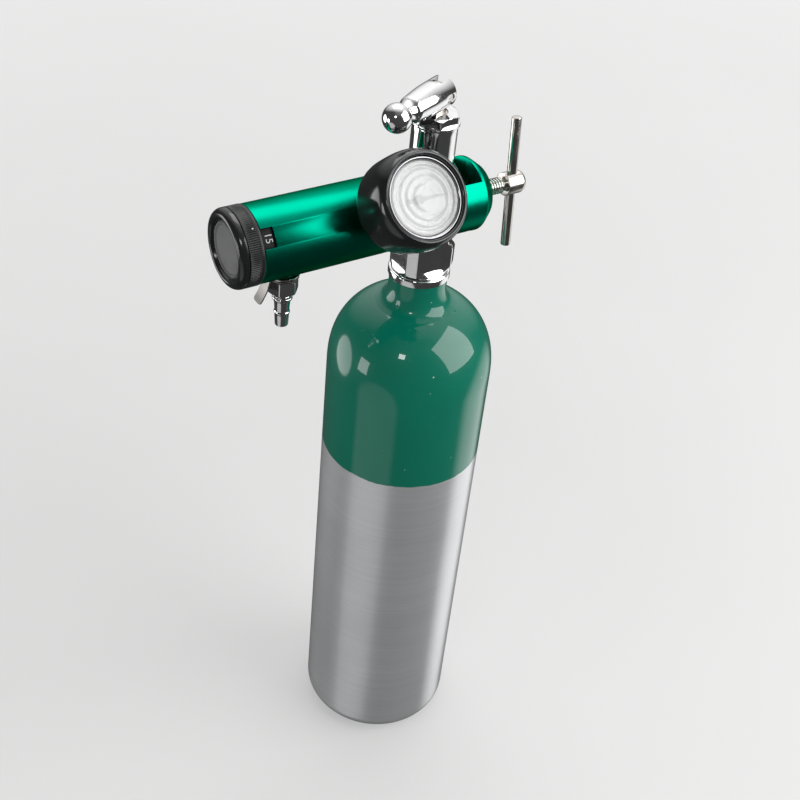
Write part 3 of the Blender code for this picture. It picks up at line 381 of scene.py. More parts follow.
MATERIALS = {
    "painted_shell": painted_shell(),
    "green_anodised": green_anodised(),
    "chrome": plated("chrome", (0.8, 0.8, 0.8), 0.09, 0.035, 0.00003),
    "steel": plated("nickel", (0.62, 0.59, 0.55), 0.2, 0.05, 0.000008, 0.2),
    "brass": plated("brass", (0.74, 0.52, 0.22), 0.28, 0.06, 0.00001, 0.3),
    "sintered_bronze": moulded("sintered_bronze", (0.36, 0.22, 0.11), 0.7, 0.1, 5000, 0.0001),
    "rubber": moulded("rubber", (0.005, 0.006, 0.006), 0.15, 0.04, 900, 0.000006, specular_ior_level=0.6),
    "black_plastic": moulded("black_plastic", (0.006, 0.0065, 0.0065), 0.36, 0.05, 2600, 0.00001,
        specular_ior_level=0.35),
    "black_gloss": moulded("black_gloss", (0.006, 0.0065, 0.0065), 0.16, 0.04, 500, 0.00001,
        specular_ior_level=0.6),
    "nylon": moulded("nylon", (0.78, 0.76, 0.69), 0.45, 0.06, 700, 0.00002),
    "clear_lens": clear_lens(),
    "white_dial": moulded("white_dial", (0.44, 0.44, 0.44), 0.42, 0.05, 800, 0.000005),
}
CAP_FACE = turned_face("cap_face", (0.062, 0.064, 0.063), 0.4)
SHEET_STEEL = plated("sheet_steel", (0.24, 0.23, 0.22), 0.34, 0.05, 0.00001, 0.2)
BEZEL = plated("bezel", (0.3, 0.3, 0.31), 0.16, 0.03, 0.00001)
DRUM = moulded("drum", (0.005, 0.005, 0.005), 0.45, 0.05, 2600, 0.00001, specular_ior_level=0.12)
WHITE_PRINT = printed("white_print", (0.36, 0.37, 0.37))
BLACK_PRINT = printed("black_print", (0.03, 0.03, 0.035))
RED_PRINT = printed("red_print", (0.26, 0.03, 0.035))


# Shapes


def skin(loops, ring=False):
    """Faces between loops of points. A loop of one point closes an end."""
    bm = bmesh.new()
    rows = [[bm.verts.new(point) for point in loop] for loop in loops]
    pairs = list(zip(rows, rows[1:]))
    if ring:
        pairs.append((rows[-1], rows[0]))
    for lower, upper in pairs:
        count = max(len(lower), len(upper))
        for index in range(count):
            after = (index + 1) % count
            corners = [
                lower[index % len(lower)],
                lower[after % len(lower)],
                upper[after % len(upper)],
                upper[index % len(upper)],
            ]
            corners = list(dict.fromkeys(corners))
            if len(corners) > 2:
                bm.faces.new(corners)
    bmesh.ops.recalc_face_normals(bm, faces=bm.faces)
    return bm


def around(steps, place):
    """A loop about Z, from a function that gives the radius and height at an angle."""
    points = []
    for index in range(steps):
        angle = 2 * pi * index / steps
        radius, height = place(angle)
        points.append((radius * cos(angle), radius * sin(angle), height))
    return points


def circle(radius, height, steps):
    if radius < 1e-7:
        return [(0, 0, height)]
    return around(steps, lambda angle: (radius, height))


def turned(profile, steps=FINE, ring=False):
    return skin([circle(radius, height, steps) for radius, height in profile], ring)


def rounded(first, corner, last, count):
    points = []
    for step in range(count + 1):
        share = step / count
        points.append(first * (1 - share) ** 2 + corner * 2 * share * (1 - share) + last * share**2)
    return points


def eased(profile, ease=0.0003, ring=False, count=3):
    """Rounds a profile's corners. A third number on a point is its own rounding, and 0 keeps it sharp."""
    points = []
    total = len(profile)
    for index, item in enumerate(profile):
        corner = Vector(item[:2])
        own = item[2] if len(item) > 2 else ease
        inside = ring or 0 < index < total - 1
        if not inside or own == 0:
            points.append(tuple(corner))
            continue
        before = Vector(profile[index - 1][:2]) - corner
        after = Vector(profile[(index + 1) % total][:2]) - corner
        reach = min(own, 0.45 * before.length, 0.45 * after.length)
        first = corner + before.normalized() * reach
        last = corner + after.normalized() * reach
        points += [tuple(point) for point in rounded(first, corner, last, count)]
    return points


def flowing(points, count=6):
    """A smooth curve through a profile's points."""
    ends = [Vector(point) for point in points]
    ends = [2 * ends[0] - ends[1]] + ends + [2 * ends[-1] - ends[-2]]
    curve = []
    for index in range(1, len(ends) - 2):
        p0, p1, p2, p3 = ends[index - 1 : index + 3]
        for step in range(count):
            t = step / count
            point = 2 * p1 + (p2 - p0) * t
            point += (2 * p0 - 5 * p1 + 4 * p2 - p3) * t**2
            point += (3 * p1 - p0 - 3 * p2 + p3) * t**3
            curve.append(tuple(point / 2))
    curve.append(tuple(ends[-2]))
    return curve


def arc(centre, radius, start, end, count):
    points = []
    for index in range(count + 1):
        angle = radians(start + (end - start) * index / count)
        points.append((centre[0] + radius * cos(angle), centre[1] + radius * sin(angle)))
    return points


def box(low, high):
    bm = bmesh.new()
    size = Vector(high) - Vector(low)
    middle = (Vector(high) + Vector(low)) / 2
    bmesh.ops.create_cube(bm, size=1, matrix=moved(middle) @ Matrix.Diagonal((*size, 1)))
    return bm


def rod(radius, start, end, steps=MEDIUM):
    return turned([(0, start), (radius, start), (radius, end), (0, end)], steps)


def nut(across_flats, start, end, bore, chamfer_bottom=False, turn=0.0, steps=144):
    """A hexagonal nut or head: flat sides with eased corners, and turned chamfers at its ends."""
    half = across_flats / 2
    corner = half / cos(pi / 6)
    crown = half * 0.985

    def reach(angle):
        sixth = (angle - turn) % (pi / 3) - pi / 6
        flat = half / cos(sixth)
        return min(flat, corner - 0.00025 * (1 - min(1.0, (corner - flat) / 0.0004)))

    fall = tan(radians(28))
    rows = [lambda r: (bore, start), lambda r: (crown - 0.0004, start)]
    if chamfer_bottom:
        rows.append(lambda r: (crown, start))
        rows.append(lambda r: (r, start + (r - crown) * fall))
        rows.append(lambda r: (r, start + (r - crown) * fall + 0.0002))
    else:
        rows += [lambda r: (r - 0.00015, start), lambda r: (r, start + 0.00015)]
    rows.append(lambda r: (r, end - (r - crown) * fall - 0.0002))
    rows.append(lambda r: (r - 0.00006, end - (r - crown) * fall))
    rows += [lambda r: (crown, end), lambda r: (crown - 0.0004, end), lambda r: (bore, end)]
    loops = [around(steps, lambda angle: row(reach(angle))) for row in rows]
    if bore < 1e-6:
        loops[0] = [(0, 0, start)]
        loops[-1] = [(0, 0, end)]
        return skin(loops)
    return skin(loops, ring=True)


def thread(radius, depth, pitch, start, end, steps=48, rows=10):
    """A screw thread's closed solid, its ridge winding about Z."""
    count = int((end - start) / pitch * rows)
    loops = [[(0, 0, start)]]
    for row in range(count + 1):
        height = start + (end - start) * row / count
        points = []
        for index in range(steps):
            angle = 2 * pi * index / steps
            phase = (height / pitch - index / steps) % 1.0
            rise = min(1.0, max(0.0, 1.35 - abs(phase - 0.5) * 3.4))
            near_end = min(1.0, (height - start) / pitch, (end - height) / pitch)
            reach = radius - depth * (1 - rise * near_end)
            points.append((reach * cos(angle), reach * sin(angle), height))
        loops.append(points)
    loops.append([(0, 0, end)])
    return skin(loops)


def cut_outline(front, back, half_width, chamfer, rounding=0.0006, corner_steps=4, side_steps=4):
    """A rectangle with its corners cut off and every edge eased: a loop of points in the plane."""
    corners = []
    for x, y, x_cut, y_cut in (
        (front, -half_width, chamfer, 0), (back, -half_width, -chamfer, 0),
        (back, -half_width, 0, chamfer), (back, half_width, 0, -chamfer),
        (back, half_width, -chamfer, 0), (front, half_width, chamfer, 0),
        (front, half_width, 0, -chamfer), (front, -half_width, 0, chamfer),
    ):
        corners.append(Vector((x + x_cut, y + y_cut)))
    points = []
    for index, corner in enumerate(corners):
        before = corners[index - 1]
        after = corners[(index + 1) % len(corners)]
        first = corner + (before - corner).normalized() * rounding
        last = corner + (after - corner).normalized() * rounding
        points += rounded(first, corner, last, corner_steps)
        following = after + (corner - after).normalized() * rounding
        for step in range(1, side_steps):
            points.append(last.lerp(following, step / side_steps))
    return points


def blended(outline, radius, share, height):
    """A loop that is the outline at share 0 and a circle of the radius at share 1."""
    points = []
    for point in outline:
        target = point.normalized() * radius
        place = point.lerp(target, share)
        points.append((place.x, place.y, height))
    return points


def shares(count):
    return [index / count for index in range(1, count + 1)]


# Pieces


def link(obj):
    bpy.context.scene.collection.objects.link(obj)


def object_from(name, bm):
    mesh = bpy.data.meshes.new(name)
    bm.to_mesh(mesh)
    bm.free()
    obj = bpy.data.objects.new(name, mesh)
    link(obj)
    return obj


def settle(obj):
    """Applies an object's modifiers."""
    bpy.context.view_layer.update()
    graph = bpy.context.evaluated_depsgraph_get()
    mesh = bpy.data.meshes.new_from_object(obj.evaluated_get(graph))
    obj.modifiers.clear()
    obj.data = mesh


def combine(obj, bm, operation="DIFFERENCE", place=None):
    """Cuts a shape from an object, or joins it on. Both are in the object's own axes, apart from place."""
    tool = object_from("tool", bm)
    if place is not None:
        tool.data.transform(place)
    modifier = obj.modifiers.new("combine", "BOOLEAN")
    modifier.operation = operation
    modifier.solver = "EXACT"
    modifier.object = tool
    settle(obj)
    bpy.data.objects.remove(tool)


def ease_edges(obj, width, angle=35):
    modifier = obj.modifiers.new("ease", "BEVEL")
    modifier.width = width
    modifier.segments = 2
    modifier.limit_method = "ANGLE"
    modifier.angle_limit = radians(angle)
    modifier.harden_normals = False
    settle(obj)


def install(obj, place, body, slot, *stands_for, material=None, sharp=SHARP):
    """Shades a finished piece with its slot's material, puts it in its place, ties it to its body, and hides the
    CAD nodes that it stands for.
    """
    obj.data.materials.clear()
    obj.data.materials.append(material or MATERIALS[slot])
    obj.data.shade_smooth()
    obj.data.set_sharp_from_angle(angle=sharp)
    obj.matrix_world = place
    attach(obj, body)
    if stands_for:
        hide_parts(*stands_for)
    return obj


def turned_piece(name, profile, place, body, slot, *stands_for, steps=FINE, ring=True, material=None):
    obj = object_from(name, turned(profile, steps, ring))
    return install(obj, place, body, slot, *stands_for, material=material)


# The cylinder


def make_shell():
    foot = SHELL_TOP - NECK_HEIGHT
    centre = foot - SHOULDER_HEIGHT
    profile = [(0, 0.0012), (0.01, 0.0011), (0.022, 0.0006)]
    profile += flowing([(0.026, 0.0001), (0.0305, 0.0)], 3)
    profile += arc((SHELL_RADIUS - BASE_EDGE, BASE_EDGE), BASE_EDGE, -88, 0, 12)
    for index in range(1, 60):
        profile.append((SHELL_RADIUS, BASE_EDGE + (centre - BASE_EDGE) * index / 60))
    for index in range(45):
        rise = SHOULDER_HEIGHT * 0.92 * sin(pi / 2 * index / 44)
        share = 1 - (rise / SHOULDER_HEIGHT) ** SHOULDER_POWER
        profile.append((SHELL_RADIUS * share ** (1 / SHOULDER_POWER), centre + rise))
    shoulder_end = profile[-1]
    throat = [
        shoulder_end,
        (NECK_RADIUS + 0.0032, foot - 0.0017), (NECK_RADIUS + 0.0015, foot + 0.0003),
        (NECK_RADIUS + 0.0005, foot + 0.003), (NECK_RADIUS, foot + 0.0065),
        (NECK_RADIUS, SHELL_TOP - 0.001),
    ]
    profile += flowing(throat, 6)[1:]
    rim = [(NECK_RADIUS, SHELL_TOP - 0.0009), (NECK_RADIUS, SHELL_TOP), (0.0122, SHELL_TOP),
        (0.0122, SHELL_TOP - 0.0022)]
    rim += [(0.0096, SHELL_TOP - 0.0022), (0.0096, foot - 0.012), (0.03, foot - 0.016),
        (INSIDE_RADIUS, centre - 0.004)]
    rim += [(INSIDE_RADIUS, 0.014), (0.029, 0.008), (0, 0.008)]
    profile += eased(rim, 0.0004)[1:]
    turned_piece("fine_shell", profile, Matrix(), "cylinder", "painted_shell", "cylinder_shell",
        ring=False, steps=160)


# The valve


def make_valve():
    outline = cut_outline(POST_FRONT, BODY_BACK, POST_HALF_WIDTH, POST_CORNER)
    upper = cut_outline(POST_FRONT, POST_BACK, POST_HALF_WIDTH, POST_CORNER)

    def ring(radius, height):
        return blended(outline, radius, 1.0, height)

    loops = [[(0, 0, -0.022)]]
    for radius, height in eased([(0, -0.022), (0.0093, -0.022, 0.0008), (0.0093, 0),
        (FLANGE_RADIUS, 0, 0.0009)])[1:]:
        loops.append(ring(radius, height))
    for radius, height in eased([(FLANGE_RADIUS, 0.0009), (FLANGE_RADIUS, 0.0034, 0.0008),
        (0.013, 0.0036)])[1:]:
        loops.append(ring(radius, height))
    for share in shares(4):
        loops.append(ring(0.013 + 0.0003 * share, 0.0036 + 0.0009 * share))
    for share in shares(12):
        round_share = (1 - share) ** 1.6
        loops.append(blended(outline, 0.0136 + 0.0004 * share, round_share, 0.0045 + 0.003 * share))
    for height in (0.0095, 0.0125, 0.0155):
        loops.append(blended(outline, 0.014, 0.0, height))
    for share in shares(8):
        ease = share * share * (3 - 2 * share)
        mix = [low.lerp(high, ease) for low, high in zip(outline, upper)]
        loops.append(blended(mix, 0.014, 0.0, 0.0155 + 0.005 * share))
    for height in (0.028, 0.036, 0.044, 0.05, BLOCK_TOP):
        loops.append(blended(upper, 0.014, 0.0, height))
    for share in shares(12):
        ease = share * share * (3 - 2 * share)
        loops.append(blended(upper, POST_RADIUS, ease, BLOCK_TOP + 0.0055 * share))
    for height in (0.062, 0.066, 0.07, 0.074):
        loops.append(ring(POST_RADIUS, height))
    for radius, height in eased([(POST_RADIUS, 0.074), (POST_RADIUS, POST_TOP, 0.0005),
        (0, POST_TOP)])[1:-1]:
        loops.append(ring(radius, height))
    loops.append([(0, 0, POST_TOP)])
    body = object_from("fine_valve_body", skin(loops))
    bores = [(0, -0.023), (0.0029, -0.023), (0.0029, -0.016), (0.0016, -0.015), (0.0016, 0.034),
        (0.0069, 0.034)]
    bores += [(0.0069, 0.0647), (0.0083, 0.0647), (0.0083, 0.078), (0, 0.078)]
    combine(body, turned(bores, MEDIUM))
    sideways = moved((0, 0, OUTLET_HEIGHT)) @ TO_X
    combine(body, rod(0.0036, POST_FRONT - 0.001, -0.0045), place=sideways)
    dimple = [(0, POST_BACK - 0.0022), (0.0046, POST_BACK + 0.0005), (0, POST_BACK + 0.0005)]
    combine(body, turned(dimple, MEDIUM), place=sideways)
    for side in (-1, 1):
        place = moved((0, side * INDEX_ACROSS, OUTLET_HEIGHT - INDEX_BELOW))
        place = place @ TO_X
        combine(body, rod(0.0022, POST_FRONT - 0.001, POST_FRONT + 0.0055, 32), place=place)
    back = moved((0, 0, 0.013)) @ TO_Y
    relief = [(0, 0), (0.0018, 0), (0.0018, 0.0045), (0.0045, 0.0045), (0.0045, 0.015), (0, 0.015)]
    combine(body, turned(relief, MEDIUM), place=back)
    install(body, VALVE, "cylinder", "chrome", "valve_body")


def make_valve_fittings():
    skirt = [
        (0.0051, 0.065), (0.008, 0.065), (0.008, POST_TOP + GAP, 0),
        (0.0109, POST_TOP + GAP, 0.0002), (0.0109, POST_TOP + GAP + 0.0011, 0.0003),
        (0.0051, POST_TOP + GAP + 0.0011),
    ]
    gland = object_from("fine_packing_nut", turned(eased(skirt, ring=True), FINE, True))
    flats = nut(0.0184, POST_TOP + GAP + 0.0009, NUT_TOP, 0.0051, turn=radians(10))
    combine(gland, flats, "UNION")
    install(gland, VALVE, "cylinder", "chrome", "packing_nut")

    body = eased([(0.0014, 0.0057), (0.0042, 0.0057), (0.0042, 0.0114), (0.0056, 0.0114), (0.0056, 0.0124),
        (0.0014, 0.0124)], ring=True)
    plug = object_from("fine_safety_plug", turned(body, MEDIUM, True))
    combine(plug, nut(0.0095, 0.012, 0.0158, 0.0014), "UNION")
    install(plug, PLUG, "cylinder", "brass", "safety_plug")


def make_stem():
    profile = [(0, 0.0549), (0.0066, 0.0549), (0.0066, 0.058), (0.0042, 0.058), (0.0042, 0.0648),
        (STEM_RADIUS, 0.0652)]
    profile += [(STEM_RADIUS, 0.096), (0, 0.096)]
    stem = object_from("fine_valve_stem", turned(eased(profile), MEDIUM))
    combine(stem, box((-0.0042, -0.0012, 0.0485), (0.0042, 0.0012, 0.0556)), "UNION")
    heading = Matrix.Rotation(atan2(LEVER_DIRECTION.y, LEVER_DIRECTION.x), 4, "Z")
    flat = LEVER_SLOT / 2 - GAP
    for side in (-1, 1):
        near, far = sorted((side * flat, side * 0.009))
        combine(stem, box((-0.008, near, NUT_TOP - GAP), (0.008, far, 0.099)), place=heading)
    pivot = LEVER_PIVOT.z - VALVE_Z
    outline = [(-0.01, 0.045), (0.01, 0.045)] + arc((0, pivot), STEM_RADIUS, 0, 180, 36)
    loops = [[(0, 0.01, 0.06)]]
    for side in (0.01, -0.01):
        loops.append([(along, side, height) for along, height in outline])
    loops.append([(0, -0.01, 0.06)])
    combine(stem, skin(loops), "INTERSECT", heading)
    hole = moved((0, 0, pivot)) @ heading @ TO_Y
    combine(stem, rod(PIN_HOLE_RADIUS, -0.008, 0.008, 32), place=hole)
    ease_edges(stem, 0.00012)
    install(stem, VALVE, "valve_stem", "steel", "valve_stem")


def make_lever():
    ball = 0.0063
    neck = LEVER_REACH - ball
    profile = [(0, -LEVER_END), (0.007, -LEVER_END, 0)]
    profile += [(0.007, 0.009, 0.004), (0.0061, neck - 0.0062, 0.003), (0.0058, neck - 0.0035, 0.0012)]
    profile += [(0.0045, neck - 0.0017, 0.001), (0.004, neck + 0.0004, 0.0008)]
    lead = eased(profile, 0.0004, count=5)
    lead += arc((0, LEVER_REACH), ball, -50, 90, 26)
    lever = object_from("fine_toggle_lever", turned(lead, 96))
    combine(lever, box((-0.01, -LEVER_SLOT / 2, -0.012), (0.01, LEVER_SLOT / 2, STEM_RADIUS + GAP)))
    across = TO_Y
    combine(lever, rod(PIN_HOLE_RADIUS, -0.009, 0.009, 32), place=across)
    ease_edges(lever, 0.00018, 40)
    install(lever, LEVER, "lever", "chrome", "toggle_lever")
    pin = eased([(0, -0.0066), (0.0016, -0.0066, 0.0003), (0.0016, 0.0066, 0.0003), (0, 0.0066)])
    turned_piece("fine_lever_pin", pin, LEVER_PIN, "lever", "steel", "lever_pin", steps=40, ring=False)


# The regulator


def make_regulator_body():
    profile = [
        (0.0146, -0.066), (0.0146, -0.0826), (0.0164, -0.0826, 0), (0.0164, KNOB_END, 0.0001),
        (TUBE_RADIUS, KNOB_END, 0.0003), (TUBE_RADIUS, YOKE_CONE_START, 0.0006),
        (YOKE_END_RADIUS, YOKE_END, 0.0006), (0.0045, YOKE_END, 0.0006), (0.0042, 0.02),
        (0.0042, 0.0), (0.0045, 0.0), (0.0045, -0.024), (0.003, -0.024), (0.003, -0.031),
        (0.0008, -0.031), (0.0008, -0.033), (0.0044, -0.033), (0.0044, -0.046), (0.0112, -0.046),
        (0.0112, -0.056), (0.0131, -0.056), (0.0131, -0.066),
    ]
    bm = turned(eased(profile, 0.0002, True), 160, True)
    body = object_from("fine_regulator_body", bm)
    upright = TO_MINUS_X
    slot = box((INLET_FACE, -SLOT_HALF_WIDTH, -0.02), (SLOT_END, SLOT_HALF_WIDTH, 0.02))
    combine(body, slot, place=upright)
    window = box((KNOB_END - 0.002, -WINDOW_HALF_WIDTH, 0.01),
        (KNOB_END + WINDOW_DEPTH, WINDOW_HALF_WIDTH, 0.02))
    combine(body, window, place=upright @ Matrix.Rotation(WINDOW_ANGLE, 4, "X"))
    port = upright @ moved((GAUGE_POINT.x, 0, 0)) @ turned_to(GAUGE_AXIS, UP).to_4x4()
    combine(body, rod(0.0046, 0.009, 0.02), place=port)
    for along, angle, radius in ((OUTLET_PLACE, 0, 0.0042), (RELIEF_X, RELIEF_ANGLE, 0.0035)):
        place = upright @ moved((along, 0, 0)) @ Matrix.Rotation(pi + angle, 4, "X")
        combine(body, rod(radius, 0.01, 0.02), place=place)
    vent = upright @ moved((-0.051, 0, 0)) @ TO_Y
    combine(body, rod(0.001, 0.008, 0.02, 24), place=vent)
    for side in (-1, 1):
        place = moved((INDEX_BELOW, side * INDEX_ACROSS, 0))
        combine(body, rod(0.0021, -0.0212, INLET_FACE + 0.001, 32), place=place)
    ease_edges(body, 0.00022, 40)
    install(body, ALONG_X, "regulator", "green_anodised", "regulator_body")


def make_inlet():
    nipple = [(0.0015, -0.0112), (0.0032, -0.0112, 0.0006), (0.0032, INLET_FACE), (0.0042, -0.0153),
        (0.0042, -0.0237)]
    nipple += [(0.0028, -0.0237), (0.0028, -0.019), (0.0015, -0.019)]
    ringed = eased(nipple, 0.0001, True)
    turned_piece("fine_inlet_nipple", ringed, ALONG_X, "regulator", "brass", "inlet_nipple", steps=MEDIUM)
    washer = eased([(0.0036, -0.0148), (0.0078, -0.0148), (0.0078, -0.0126), (0.0036, -0.0126)], 0.0003,
        True)
    turned_piece("fine_yoke_washer", washer, ALONG_X, "regulator", "brass", "yoke_washer", steps=MEDIUM)
    for number, side in enumerate((-1, 1), 1):
        place = moved((0, side * INDEX_ACROSS, REGULATOR_Z - INDEX_BELOW), Matrix.Rotation(pi / 2, 3, "Y"))
        pin = eased([(0, -0.021), (0.002, -0.021), (0.002, -0.0091, 0.0007), (0, -0.0091)])
        name = f"index_pin_{number}"
        turned_piece(f"fine_{name}", pin, place, "regulator", "steel", name, steps=40, ring=False)


def make_yoke_screw():
    tip = [(0, POST_BACK - 0.0016), (0.0034, POST_BACK + 0.0009), (0.0036, POST_BACK + 0.0016),
        (0.0036, 0.0152)]
    tip += [(0.0025, 0.0152), (0.0025, 0.0128), (0, 0.0128)]
    turned_piece("fine_screw_tip", eased(tip), ALONG_X, "screw_tip", "steel", "screw_tip", steps=MEDIUM,
        ring=False)

    screw = object_from("fine_yoke_screw", thread(SCREW_RADIUS, 0.00062, SCREW_PITCH, 0.016, 0.0416))
    nose = [(0, 0.0131), (0.0022, 0.0131), (0.0022, 0.0155), (0.0034, 0.0158), (0.0034, 0.0166),
        (0, 0.0166)]
    combine(screw, turned(eased(nose, 0.0002), 48), "UNION")
    neck = [(0, 0.041), (0.0031, 0.041), (0.0031, 0.043), (0, 0.043)]
    combine(screw, turned(neck, 48), "UNION")
    head = [
        (0, 0.0425), (0.0055, 0.0425, 0.0004), (0.0055, 0.051, 0.0012), (0.0046, 0.0526, 0.001),
        (0.002, 0.053, 0.001), (0, 0.053),
    ]
    combine(screw, turned(eased(head, 0.0004, count=5), 80), "UNION")
    across = moved((0, 0, BAR_PLACE)) @ TO_MINUS_X
    across = across @ Matrix.Rotation(-BAR_TILT, 4, "X")
    combine(screw, rod(0.00245, -0.01, 0.01, 40), place=across)
    ease_edges(screw, 0.00015, 50)
    install(screw, ALONG_X, "yoke_screw", "steel", "yoke_screw", sharp=radians(38))
    bar = [
        (0, -BAR_HALF_LENGTH), (0.00235, -BAR_HALF_LENGTH, 0.0006),
        (0.00235, BAR_HALF_LENGTH, 0.0006), (0, BAR_HALF_LENGTH),
    ]
    turned_piece("fine_t_bar", eased(bar), BAR, "yoke_screw", "steel", "t_bar", steps=56, ring=False)


def rib(angle):
    """How deep the knob's surface lies under its rib tops at an angle, from 0 to 1."""
    phase = (angle * RIB_COUNT / (2 * pi)) % 1.0
    return max(0.0, 1 - abs(phase - 0.5) * 3.2)


def make_knob():
    steps = RIB_COUNT * 6
    rows = [(0.009, -0.0938, 0), (0.009, -0.0962, 0), (0.01735, -0.0962, 0), (KNOB_RADIUS, -0.096, 0)]
    rows += [(KNOB_RADIUS, -0.0958, 1), (KNOB_RADIUS, -0.094, 1), (KNOB_RADIUS, -0.0922, 1),
        (KNOB_RADIUS, -0.0908, 1), (KNOB_RADIUS, -0.0905, 0)]
    rows += [(KNOB_RADIUS, -0.0897, 0), (0.01735, -0.0894, 0), (0.0164, -0.0894, 0), (0.0164, -0.0938, 0)]

    def ribs(radius, height, ribbed):
        return around(steps, lambda angle: (radius - RIB_DEPTH * ribbed * rib(angle), height))

    ring = object_from("fine_knob_ring", skin([ribs(*row) for row in rows], ring=True))
    install(ring, ALONG_X, "flow_knob", "black_plastic", "knob_ring")

    rim = flowing(
        [
            (0.0131, -0.099), (0.0135, -0.0998), (0.0141, -0.1003), (0.0149, -0.1004),
            (0.0158, -0.1001), (0.0167, -0.0993), (0.0173, -0.0982), (KNOB_RADIUS, -0.0971),
        ],
        6,
    )
    cap = [(0, -0.0982), (0.0124, -0.0982), (0.0126, -0.0983), (0.0128, -0.0985)] + rim
    cap += [(KNOB_RADIUS, -0.0966), (0.0173, -0.0965), (0.0086, -0.0965), (0.0086, -0.0945)]
    cap += [(0.0072, -0.0945), (0.0072, -0.0972), (0, -0.0972)]
    turned_piece("fine_knob_cap", cap, ALONG_X, "flow_knob", "black_gloss", "knob_cap", steps=FINE,
        ring=False)
    inset = [(0, -0.0985), (0.006, -0.0985), (0.0103, -0.0985), (0.0105, -0.0985), (0.0108, -0.0988),
        (0.0112, -0.0991)]
    inset += [(0.0116, -0.0991), (0.012, -0.0988), (0.0123, -0.0984), (0.0123, -0.0981), (0, -0.0981)]
    turned_piece("fine_cap_face", inset, ALONG_X, "flow_knob", "black_gloss", ring=False, material=CAP_FACE)

    drum = [(0.0161, -0.0832), (0.0161, -0.0935), (0.0035, -0.0935), (0.0035, -0.0905), (0.0147, -0.0905),
        (0.0147, -0.0832)]
    drum = eased(drum, 0.0002, True)
    turned_piece("fine_flow_drum", drum, ALONG_X, "flow_knob", "black_plastic", "flow_drum", material=DRUM)

    dot_angle = radians(36)
    outwards = Vector((0, -sin(dot_angle), cos(dot_angle)))
    spot = Vector((-0.0922, 0, REGULATOR_Z)) + outwards * 0.01735
    place = moved(spot, turned_to(outwards, Vector((1, 0, 0))))
    dot = [(0, -0.0002), (0.0004, -0.0002), (0.0004, 0.00018), (0.0003, 0.00025), (0, 0.00028)]
    turned_piece("knob_dot", dot, place, "flow_knob", "white_dial", steps=24, ring=False,
        material=WHITE_PRINT)


def lettering(text, size, depth):
    """A closed mesh of a number in the plane, centred, with its up along Y."""
    curve = bpy.data.curves.new("number", "FONT")
    curve.body = text
    curve.size = size
    curve.align_x = "CENTER"
    curve.align_y = "CENTER"
    curve.extrude = depth / 2
    curve.offset = -size * 0.006
    curve.resolution_u = 4
    holder = bpy.data.objects.new("number", curve)
    link(holder)
    bpy.context.view_layer.update()
    mesh = bpy.data.meshes.new_from_object(holder)
    bpy.data.objects.remove(holder)
    bm = bmesh.new()
    bm.from_mesh(mesh)
    bmesh.ops.remove_doubles(bm, verts=bm.verts, dist=size * 1e-4)
    return bm


def make_flow_numbers():
    """The flow settings on the drum, one every 30 degrees, their tops towards the valve."""
    values = ("15", "10", "8", "6", "4", "3", "2", "1", ".75", ".5", ".25", "0")
    radius = 0.01625
    for number, text in enumerate(values):
        bm = lettering(text, 0.0046, 0.0001)
        bmesh.ops.subdivide_edges(bm, edges=bm.edges, cuts=1)
        angle = WINDOW_ANGLE + 2 * pi * number / len(values)
        for vertex in bm.verts:
            around = angle + vertex.co.x / radius
            reach = radius + vertex.co.z
            along = -0.0863 + vertex.co.y
            vertex.co = (along, -reach * sin(around), reach * cos(around))
        obj = object_from(f"flow_number_{number}", bm)
        place = moved((0, 0, REGULATOR_Z))
        install(obj, place, "flow_knob", "white_dial", material=WHITE_PRINT)


def make_outlet():
    seal = eased([(0.0043, 0.0177), (0.0074, 0.0177), (0.0074, 0.0187), (0.0043, 0.0187)], 0.0003, True)
    turned_piece("fine_outlet_seal", seal, HOSE, "regulator", "steel", "outlet_seal", steps=96)
    barb = [
        (0.0012, 0.0095), (0.0039, 0.0095), (0.0039, 0.0202), (0.0052, 0.0202), (0.0052, 0.027),
        (0.0034, 0.028, 0.0006), (0.0034, 0.0297, 0.0004), (0.0046, 0.0302, 0.0004),
        (0.0046, 0.0315, 0.0005), (0.0037, 0.0322, 0.0002), (0.0033, 0.0376, 0.0002),
        (0.00365, 0.0382, 0.0002), (0.0036, 0.0388, 0.0003), (0.0033, 0.0394, 0.0002),
        (0.003, 0.0455, 0.0004), (0.0016, 0.0455, 0.0003), (0.0012, 0.0448),
    ]
    fitting = object_from("fine_outlet_fitting", turned(eased(barb, 0.0002, True), 80, True))
    flats = nut(0.01264, 0.02, 0.0272, 0.003, chamfer_bottom=True, turn=radians(10))
    combine(fitting, flats, "UNION")
    install(fitting, HOSE, "regulator", "chrome", "outlet_fitting")

    washer = eased([(0.0043, 0.019), (0.0072, 0.019), (0.0072, 0.0197), (0.0043, 0.0197)], 0.0001, True)
    tab = object_from("fine_outlet_tab", turned(washer, 96, True))
    combine(tab, tongue(), "UNION")
    install(tab, HOSE, "regulator", "steel", "outlet_tab", material=SHEET_STEEL)

    stub = [(0, 0.0149), (0.0032, 0.0149), (0.0032, 0.0177), (0.0056, 0.0177), (0.0056, 0.02), (0, 0.02)]
    cap = object_from("fine_relief_cap", turned(eased(stub, 0.0003), MEDIUM))
    combine(cap, nut(0.00952, 0.0195, 0.024, 0.0), "UNION")
    across = moved((0, 0, 0.022)) @ TO_X
    combine(cap, rod(0.0009, -0.01, 0.01, 20), place=across)
    install(cap, RELIEF, "regulator", "chrome", "relief_cap")


